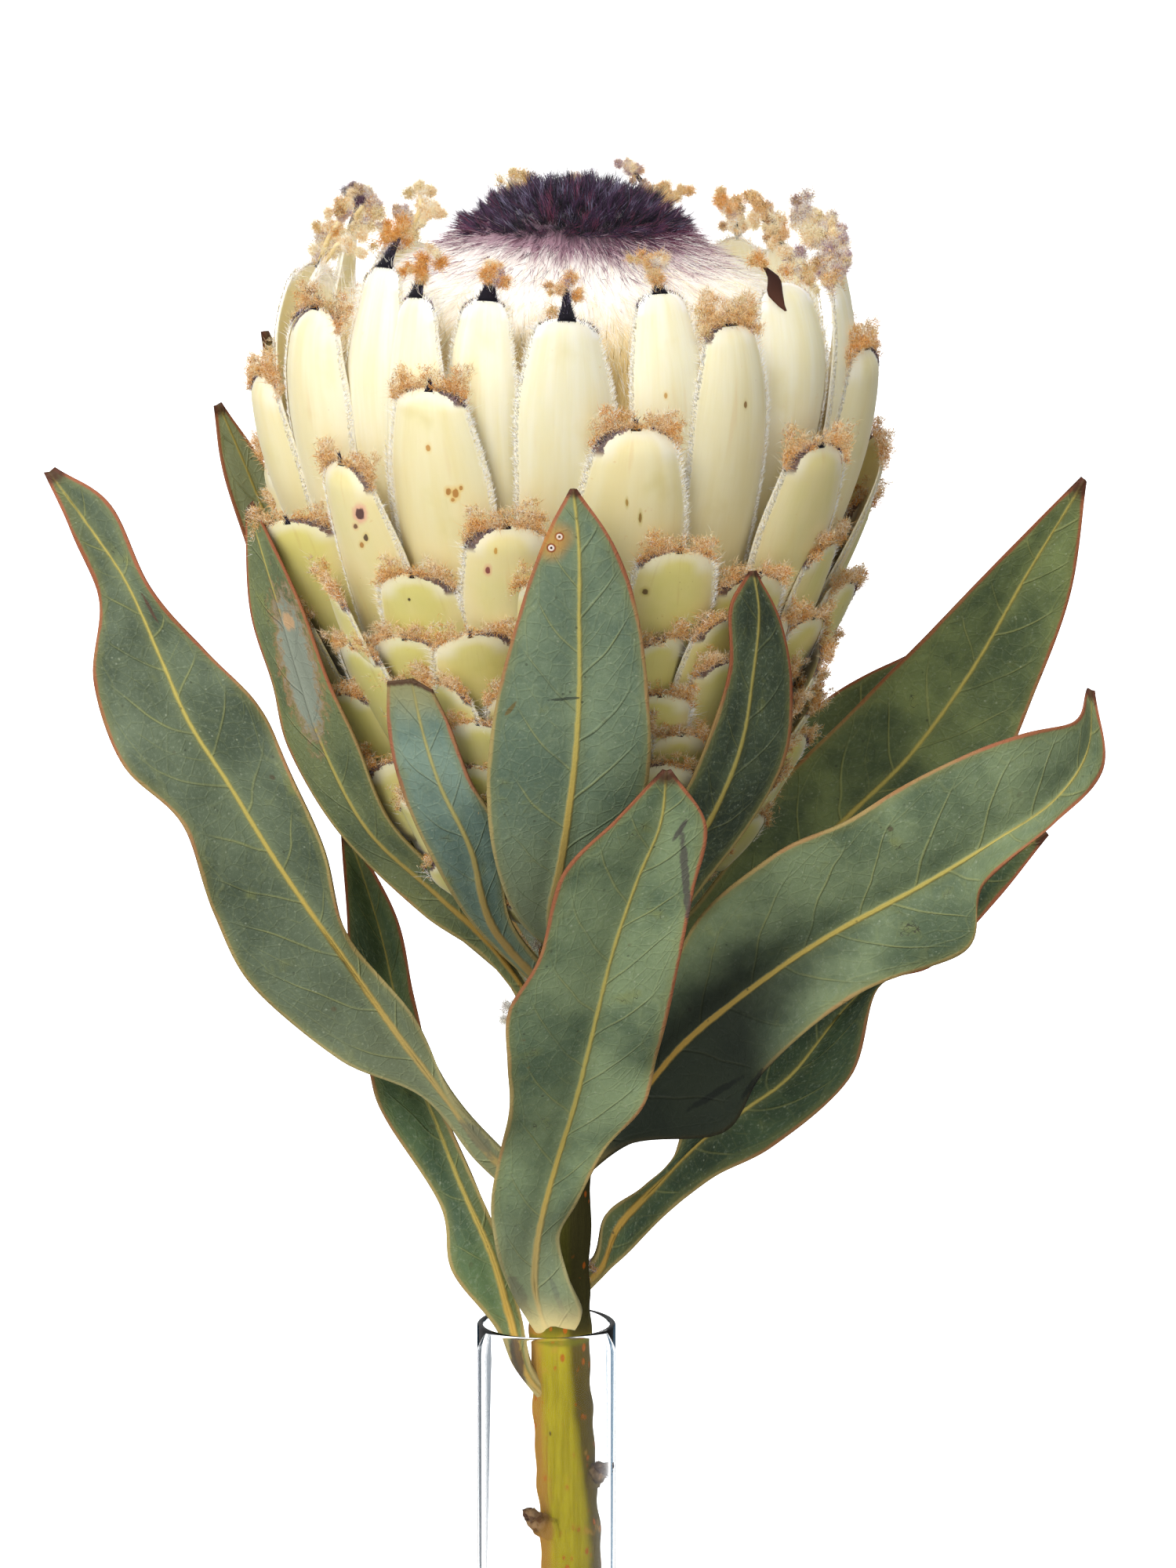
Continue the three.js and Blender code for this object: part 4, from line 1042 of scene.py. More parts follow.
# Long twisted awns: how far each ends right of and above its bract's tip, the ball's radius, the
# awn's own tone and the ball's shades.
STALKS = {
    "bract_inner_1": [(4.0, 9.6, 1.9, "straw", "gold"), (5.4, 4.6, 1.7, "straw", "pale")],
    "bract_middle_1": [(5.0, 5.6, 1.9, "straw", "straw"), (2.4, 3.4, 1.6, "straw", "mauve")],
    "bract_inner_10": [
        (3.2, 6.4, 2.0, "straw", "straw"), (0.6, 6.8, 1.1, "plum", "plum"),
        (4.6, 2.6, 2.3, "brown", "bright"),
    ],
    "bract_middle_10": [
        (2.6, 9.8, 2.0, "straw", "straw"), (3.6, 6.0, 1.6, "straw", "pale"),
        (-2.4, 5.4, 2.0, "brown", "mauve"),
    ],
    "bract_inner_9": [(3.0, 7.6, 2.2, "straw", "gold")],
    "bract_inner_8": [
        (-4.8, 9.2, 1.3, "black", "mauve"), (2.0, 4.6, 2.2, "brown", "gold"),
        (4.4, 3.6, 1.5, "brown", "tan"),
    ],
    "bract_middle_8": [(-2.8, 7.4, 1.9, "black", "orange"), (-0.6, 4.2, 1.5, "umber", "tan")],
    "bract_inner_7": [
        (-4.6, 9.4, 1.9, "umber", "tan"), (-3.6, 5.0, 1.6, "umber", "pale"),
        (-1.2, 2.6, 1.6, "umber", "rosy"),
    ],
    "bract_middle_7": [(-6.0, 6.4, 2.2, "brown", "mauve"), (-3.2, 3.8, 2.2, "brown", "pale")],
    "bract_inner_6": [(-2.0, 3.2, 2.0, "straw", "pale"), (0.6, 4.4, 1.6, "straw", "mauve")],
    "bract_middle_6": [(1.4, 3.0, 1.9, "straw", "mauve"), (-3.4, 2.0, 1.8, "straw", "tan")],
    "bract_middle_9": [(-1.5, 6.0, 1.8, "brown", "tan")],
}


# The balls by the folded tip: across and down from the tip, radius and shades.
FOLDED_BALLS = [
    (-3.0, -4.2, 1.9, "orange"),
    (3.0, -1.2, 2.2, "rosy"),
    (0.8, -5.0, 1.7, "pale"),
    (4.6, -3.6, 1.5, "mauve"),
]


def upper_tip(fur, bract, name):
    rng = fur.rng
    style, lean, shades = TIPS[name]
    if style == "beard":
        beard(fur, bract, 0.9, 100, shades)
        rim_band(fur, bract, 200)
        claw(fur, bract, 2.6, 2.4, 0.1)
    elif style == "tall_beard":
        beard(fur, bract, 1.25, 220, shades)
        rim_band(fur, bract, 160)
        claw(fur, bract, 3.6, 2.6, 0.5)
    elif style in ("awn", "low_awn"):
        tall = rng.uniform(5.6, 6.6) if style == "awn" else 3.2
        rim_band(fur, bract, 90, 0.5)
        top, direction = claw(fur, bract, rng.uniform(3.4, 4.1) if style == "awn" else 3.0, tall, -0.05, lean)
        lift = 0.4 if style == "awn" else 2.2
        puff(fur, top + direction * lift, rng.uniform(1.9, 2.3), 640, shades)
        for k in range(3):
            beside = top + direction * (lift - 0.4 * k) + rng.normal(size=3) * 1.3
            puff(fur, beside, 1.2, 160, ("pale", shades, "mauve")[k])
    elif style == "woolly":
        beard(fur, bract, 0.9, 60, shades)
        puff(fur, bract.place(np.array([1.0]), np.array([-2.6]))[0], 2.2, 320, "mauve")
    elif style == "folded":
        folded_claw(fur, bract)
        for x, d, radius, fuzz in FOLDED_BALLS:
            puff(fur, bract.place(np.array([x]), np.array([d]))[0], radius, 260, fuzz)
    else:
        claw(fur, bract, 2.4, 2.6, 0.0, lean, rng.choice(["brown", "umber", "black"]))
    for side, tall, radius, tone, fuzz in STALKS.get(name, []):
        stalk(fur, bract, (side, tall), radius, tone, fuzz)
    if "beard" not in style:
        wisps(fur, bract, 240 if style == "stalked" else 200, 3.0, 0.6)


def folded_claw(fur, bract):
    """A broad dry point that has folded over and hangs down the outside of the bract."""
    x = np.full(9, -2.4) + np.array([0, 0.2, 0.3, 0.2, 0, -0.1, 0.0, 0.3, 0.7])
    d = np.linspace(-3.4, 5.0, 9)
    lift = np.array([0.3, 0.8, 1.3, 1.5, 1.4, 1.2, 1.1, 1.0, 1.1])
    path = bract.place(x, d, lift)
    across, _, out = bract.frame(np.array([-2.4]), np.array([1.0]))
    radii = np.array([0.3, 0.6, 1.0, 1.3, 1.45, 1.35, 1.0, 0.6, 0.2])
    tube(fur.shape, path, radii, 10, cell=tone_cell("umber", 0.0, 0.6), squash=(across[0], out[0] * 0.28))


def bearded_tip(fur, bract):
    beard(fur, bract, 1.0, 110)
    rim_band(fur, bract, 260)
    claw(fur, bract, 2.0, 2.2, 0.25)
    wisps(fur, bract, 50, 2.0, 0.0)


# Settings of single bracts: how far the tip is turned about its middle line, and how round it is.
TWISTS = {"bract_outer_2": -0.02, "bract_middle_2": -0.015, "bract_inner_7": -0.04}
TIP_ROUND = {"bract_outer_3": 0.14, "bract_middle_4": 0.16, "bract_middle_5": 0.2}
# For each row, how green it is and how far down from the tip its margins are seen.
GREENNESS = {"bract_inner": 0.08, "bract_middle": 0.14, "bract_outer": 0.34, "bract_low": 0.5}
EXPOSED = {"bract_inner": 34, "bract_middle": 44, "bract_outer": 42, "bract_low": 34}


def free_bracts():
    for number, (row, bracts) in enumerate(BRACTS.items()):
        fur = Fur(100 + number)
        for k, (degrees, tip_height, width) in enumerate(bracts):
            name = f"{row}_{k + 1}"
            rng = np.random.default_rng(1000 * number + k)
            crown = (1.5, 2.0, 2.4, 2.2)[number]
            shoulder = (0.56, 0.56, 0.62, 0.66)[number]
            tip_round = TIP_ROUND.get(name, 0.24)
            form = {"shoulder": shoulder, "tip_round": tip_round}
            bract = Bract(number, degrees, tip_height, width, rng, crown, **form)
            bract.twist = TWISTS.get(name, bract.twist)
            style = TIPS[name][0] if name in TIPS else "beard"
            shape = Shape()
            bract.sheet(shape, GREENNESS[row] + rng.uniform(-0.08, 0.08))
            skin = (AWNED if "beard" not in style else CREAM) if number < 2 else YELLOW
            shape.piece(name, skin, "bract", name)
            if number < 2:
                upper_tip(fur, bract, name)
            else:
                bearded_tip(fur, bract)
            fringe(fur, bract, bract.round * 0.35, EXPOSED[row])
        fur.piece(f"{row}_hair")


free_bracts()

# ---- the short bracts and the receptacle ----

# Degrees from the front and tip height of each scale, ring by ring from the top.
SCALE_RINGS = [
    [(-97, 75), (-64.5, 77), (-32, 71), (-2, 71), (23, 76), (42, 70), (66, 73), (94, 77)]
    + [(118 + 24 * k, 74 + 2 * (k % 2)) for k in range(6)],
    [
        (-82, 66), (-51.5, 67.5), (-37.5, 59), (-19, 61), (1, 60),
        (20.5, 60), (35, 63), (48, 61), (63.5, 59.5), (80, 64),
    ]
    + [(98 + 18 * k, 61 + 2 * (k % 2)) for k in range(10)],
    [
        (-72, 60), (-50.5, 56.5), (-39.5, 50.5), (-26.5, 52), (-9, 51),
        (8, 52), (20.5, 50), (36, 55), (54, 51), (70, 53),
    ]
    + [(88 + 19 * k, 52 + k % 2) for k in range(10)],
    [(-76, 50), (-57, 47), (-38, 42), (-19, 45), (-2, 43), (14, 44), (28.5, 42), (46, 44), (64, 45), (82, 43)]
    + [(100 + 19 * k, 43 + k % 2) for k in range(10)],
]
# Each ring's width and length of scales.
SCALE_WIDTHS = [16.5, 15.5, 14, 13]
SCALE_LENGTHS = [34, 26, 22, 20]


def row_of_scales(shape, fur, layer, tips, width, length, size, seed):
    """One row of short overlapping bracts, each with its beard."""
    share = 1 / len(tips)
    for k, (degrees, tip_height) in enumerate(tips):
        rng = np.random.default_rng(seed + k)
        wide = width * rng.uniform(0.93, 1.07)
        outside = layer + 0.35 * (k % 2)
        probe = Bract(outside, degrees, tip_height, wide, rng)
        form = (0.7, wide * 0.6, probe.tip - length, 0.82, 11.0)
        bract = Bract(outside, degrees, tip_height, wide, rng, *form)
        if abs(degrees) < 80:
            bract.heavy = 1.0 if degrees < 10 else -1.0
        bract.sheet(shape, rng.uniform(0.7, 1.0), 20, 13, 0.8, (k * share, 0.0, (k + 1) * share, 1.0))
        beard(fur, bract, size, 80)
        rim_band(fur, bract, int(240 * size), 0.9 * size)
        claw(fur, bract, 1.8 * size, 1.8 * size, 0.25)
        fringe(fur, bract, bract.round * 0.5, min(12, length * 0.6), 16, 1.5)


def short_bracts():
    for i, tips in enumerate(SCALE_RINGS):
        shape = Shape()
        fur = Fur(200 + i)
        width, length = SCALE_WIDTHS[i], SCALE_LENGTHS[i]
        row_of_scales(shape, fur, 4 + i, tips, width, length, 0.84 - 0.05 * i, 5000 + 100 * i)
        shape.piece(f"scale_ring_{i + 1}", GREEN, "scale", f"scale_ring_{i + 1}")
        fur.piece(f"scale_ring_{i + 1}_hair")


short_bracts()


class CupLayer(Layer):
    """The underside of the receptacle, by distance along it from the stem."""

    LINE = [(5.4, -1.0), (10, 0.8), (16, 3.8), (24, 9.6), (30.4, 16.8), (35.2, 24.8), (39.4, 33), (43.2, 41)]

    def __init__(self, offset):
        line = curve_through(self.LINE, np.linspace(0, len(self.LINE) - 1, 400))
        slope = unit(np.gradient(line, axis=0))
        self.out = np.stack([slope[:, 1], -slope[:, 0]], -1)
        self.line = line + self.out * offset
        self.along = np.concatenate([[0], np.cumsum(np.linalg.norm(np.diff(self.line, axis=0), axis=1))])


# Rows of the cup's scales: tip height, how many, width and length.
CUP_ROWS = [
    (36, 17, 14, 17),
    (30, 16, 13, 15),
    (23.5, 15, 12, 13),
    (17, 13, 11, 11),
    (11, 11, 9.5, 9),
    (6, 9, 7, 7),
]


def flower_base():
    shape = Shape()
    fur = Fur(300)
    cup = CupLayer(-0.8)
    outside = [tuple(p) for p in cup.line[20:330:14]]
    profile = [(0.05, 2.0), (4.5, 0.8)] + outside + [(34, 27), (20, 24), (0.05, 22)]
    lathe(shape, profile, 72, (0.0, 0.9, 1.0, 1.0))
    count = sum(row[1] for row in CUP_ROWS)
    done = 0
    for j, (tip_height, number, width, length) in enumerate(CUP_ROWS):
        for k in range(number):
            rng = np.random.default_rng(7000 + 50 * j + k)
            degrees = 360 / number * (k + 0.5 * (j % 2)) + rng.normal() * 2.5
            bract = Bract(0, degrees, 60, width, rng, 1.0, width * 0.7, 0, 0.85, 8.0)
            bract.layer = CupLayer(0.7 - 0.1 * j)
            tip_at = tip_height + rng.normal() * 0.6
            bract.tip = float(np.interp(tip_at, bract.layer.line[:, 1], bract.layer.along))
            bract.length = min(length, bract.tip - 0.5)
            bract.base = bract.tip - bract.length
            cell = (done / count, 0.0, (done + 1) / count, 0.88)
            bract.sheet(shape, rng.uniform(0.6, 1.0), 14, 9, 0.7, cell)
            size = 0.6 - 0.05 * j
            beard(fur, bract, size, 44)
            rim_band(fur, bract, int(170 * size), 0.8)
            fringe(fur, bract, bract.round * 0.5, length * 0.5, 9, 1.0)
            done += 1
    shape.piece("flower_base", GREEN, "scale", "flower_base")
    fur.piece("flower_base_hair")


def lathe(shape, profile, sides, cell=WHOLE_CHART, centre=(HEAD_X, 0.0, HEAD_BASE)):
    """A body turned about +Z through (radius, height) points that start and end near the axis."""
    profile = np.asarray(profile, float)
    n = len(profile)
    turn = np.arange(sides) * 2 * np.pi / sides
    x = profile[:, :1] * np.sin(turn)
    y = -profile[:, :1] * np.cos(turn)
    z = profile[:, 1:] * np.ones(sides)
    points = np.stack([x, y, z], -1) + np.array(centre)
    faces, chart = between_rings(n, sides, cell)
    low = np.arange(sides)[::-1][None, :]
    high = (n - 1) * sides + np.arange(sides)[None, :]
    spin = np.linspace(0, 2 * np.pi, sides, endpoint=False)
    disc = np.stack([cell[0] + 0.002 * (1 + np.cos(spin)), cell[1] + 0.002 * (1 + np.sin(spin))], -1)[None]
    # What the scales' skin reads: distance from the rim, place across, height, tipness, greenness and tone.
    marks = np.stack(np.broadcast_arrays(5.0, 0.3 * np.sin(turn * 9), profile[:, 1:], 0.0, 0.9, 0.0), -1)
    shape.add(points, [(faces, chart), (low, disc), (high, disc)], marks)


flower_base()

# ---- the florets: white wool with a dark dome of styles ----

# The florets' outline, as radius and height above the head's base, and how far the dome's top leans.
DOME = [
    (0.05, 30), (15, 30), (22, 36), (35, 58), (44.5, 84), (46.6, 96), (44.5, 104), (39.5, 110.5), (32, 116),
    (25, 120), (20, 123.6), (14.5, 127), (9, 129.2), (4, 130.2), (0.05, 130.4),
]
DOME_TILT = 1.6


def floret_paint():
    paint = Paint("floret_wool")
    x, y, z = paint.split(paint.place())
    across = x - HEAD_X - DOME_TILT
    radius = paint.math("SQRT", across * across + y * y)
    around = paint.math("ARCTAN2", across, y)
    streak = paint.noise(paint.vector(around * 22.0, radius * 0.12, z * 0.12), 1.0, 4.0, 0.65)
    ragged = radius + (streak - 0.5) * 9.0 + paint.ramp_up(z, HEAD_BASE + 104.0, HEAD_BASE + 96.0) * 20.0
    paint.colour = paint.mix(paint.ramp_up(streak, 0.62, 0.35) * 0.3, "faf6ee", "e6d9c2")
    golden = paint.ramp_up(z + (streak - 0.5) * 14.0, HEAD_BASE + 119.0, HEAD_BASE + 106.0)
    paint.over(golden * 0.95, "d4b878")
    paint.over(paint.ramp_up(ragged, 24.5, 19.0), "a8808e")
    paint.over(paint.ramp_up(ragged, 20.0, 15.5), "4a2238")
    paint.over(paint.ramp_up(ragged, 14.5, 10.0), "1a1320")
    normal = paint.bump(streak * 1.0, 0.8)
    return paint.finish(paint.colour, 0.8, normal, Sheen_Weight=0.4)


def dome_surface(azimuth, radius):
    """A point of the dome above a distance from its axis, and the surface's outward direction there."""
    profile = np.array(DOME[::-1][:-5])
    h = np.interp(radius, *profile.T)
    slope = np.interp(radius + 0.5, *profile.T) - np.interp(radius - 0.5, *profile.T)
    ring = ring_way(azimuth)
    point = ring * radius[:, None] + np.array([HEAD_X, 0, HEAD_BASE])
    point[:, 2] += h
    point[:, 0] += DOME_TILT * smooth(-radius, -40, -10)
    normal = unit(-ring * slope[:, None] + UP)
    downhill = unit(ring + UP * slope[:, None])
    return point, normal, downhill


def style_tufts(fur, count, per, reach, length, shades):
    """Dark styles in pointed tufts: the hairs of a tuft spring apart and lean together."""
    rng = fur.rng
    azimuth = rng.uniform(0, 2 * np.pi, count)
    oval = 1 - 0.12 * np.cos(azimuth) ** 2
    radius = reach * oval * np.sqrt(rng.uniform(0, 1, count))
    centre, normal, downhill = dome_surface(azimuth, radius)
    share = smooth(radius, 3, 22)[:, None]
    way = unit(normal * mix(1.0, 0.6, share) + downhill * mix(0.1, 0.8, share) + fur.scatter(count, 0.28))
    tall = length * rng.uniform(0.7, 1.25, count)
    which = np.repeat(np.arange(count), per)
    n = len(which)
    root = centre[which] - normal[which] * 0.8 + fur.scatter(n) * np.array([0.62, 0.62, 0.25])
    end = (centre + way * tall[:, None])[which] + fur.scatter(n, 0.3)
    line = end - root
    lengths = np.linalg.norm(line, axis=1) * rng.uniform(0.75, 1.05, n)
    own = fur.tones(count, **shades)[which]
    tones = np.where(rng.uniform(size=n) < 0.6, own, fur.tones(n, **shades))
    outer = rng.uniform(size=n) < smooth(radius, 14, 22)[which] * 0.65
    tones = np.where(outer, fur.tones(n, wine=4, plum=2.5, mauve=0.8), tones)
    fur.add(root, line, lengths, rng.uniform(0.12, 0.2, n), fur.scatter(n, 0.08), tones, 3)


def combed(fur, n, inner, outer, length, lift, tones):
    """Hairs laid down the outside of the dome between two distances from its axis."""
    rng = fur.rng
    radius = np.sqrt(rng.uniform(inner**2, outer**2, n))
    point, normal, downhill = dome_surface(rng.uniform(0, 2 * np.pi, n), radius)
    direction = downhill + normal * rng.uniform(0.0, lift, (n, 1)) + fur.scatter(n, 0.14)
    lengths = length * rng.uniform(0.6, 1.2, n)
    fur.add(point - normal * 0.3, direction, lengths, 0.12, fur.scatter(n, 0.1), tones, 3)


def side_wool(fur, n):
    """Long silky hairs hanging down round the florets' upright sides, seen between the bracts."""
    rng = fur.rng
    height = rng.uniform(70, 112, n)
    azimuth = rng.uniform(0, 2 * np.pi, n)
    reach, rise = np.array(DOME[2:9]).T
    radius = np.interp(height, rise, reach)
    ring = ring_way(azimuth)
    point = ring * radius[:, None] + np.array([HEAD_X, 0, HEAD_BASE]) + UP * height[:, None]
    direction = UP + ring * rng.uniform(0.02, 0.25, (n, 1)) + fur.scatter(n, 0.12)
    low = rng.uniform(105, 119, n) > height
    tones = np.where(low, fur.tones(n, cream=2, silk=5, straw=2), fur.tones(n, white=6, cream=3, wool=1))
    fur.add(point, direction, rng.uniform(4, 9, n), 0.13, fur.scatter(n, 0.1), tones, 3)


def florets():
    shape = Shape()
    lathe(shape, curve_through(DOME, np.linspace(0, len(DOME) - 1, 90)), 96)
    shape.piece("florets", floret_paint(), "floret_wool", "florets")
    styles = Fur(400)
    # The styles' grey-violet steel hairs are painted sheen on the dark tufts.
    style_tufts(styles, 760, 19, 18.2, 5.0, {"black": 6, "plum": 4, "steel": 0.8, "wine": 1})
    combed(styles, 3400, 14.0, 20.5, 5.5, 0.6, styles.tones(3400, wine=6, plum=3, mauve=1.2))
    combed(styles, 3800, 17.5, 26.0, 7.0, 0.4, styles.tones(3800, mauve=3, rose=4, white=2, wine=1.5))
    styles.piece("styles")
    wool = Fur(401)
    combed(wool, 5600, 22.5, 36.0, 8.0, 0.35, wool.tones(5600, white=7, cream=1.5, wool=1, rose=1))
    combed(wool, 4400, 34.0, 46.0, 8.0, 0.35, wool.tones(4400, white=2, cream=4, silk=2, wool=0.5, rose=0.5))
    side_wool(wool, 5200)
    wool.piece("head_wool")


florets()

# ---- the leaves ----

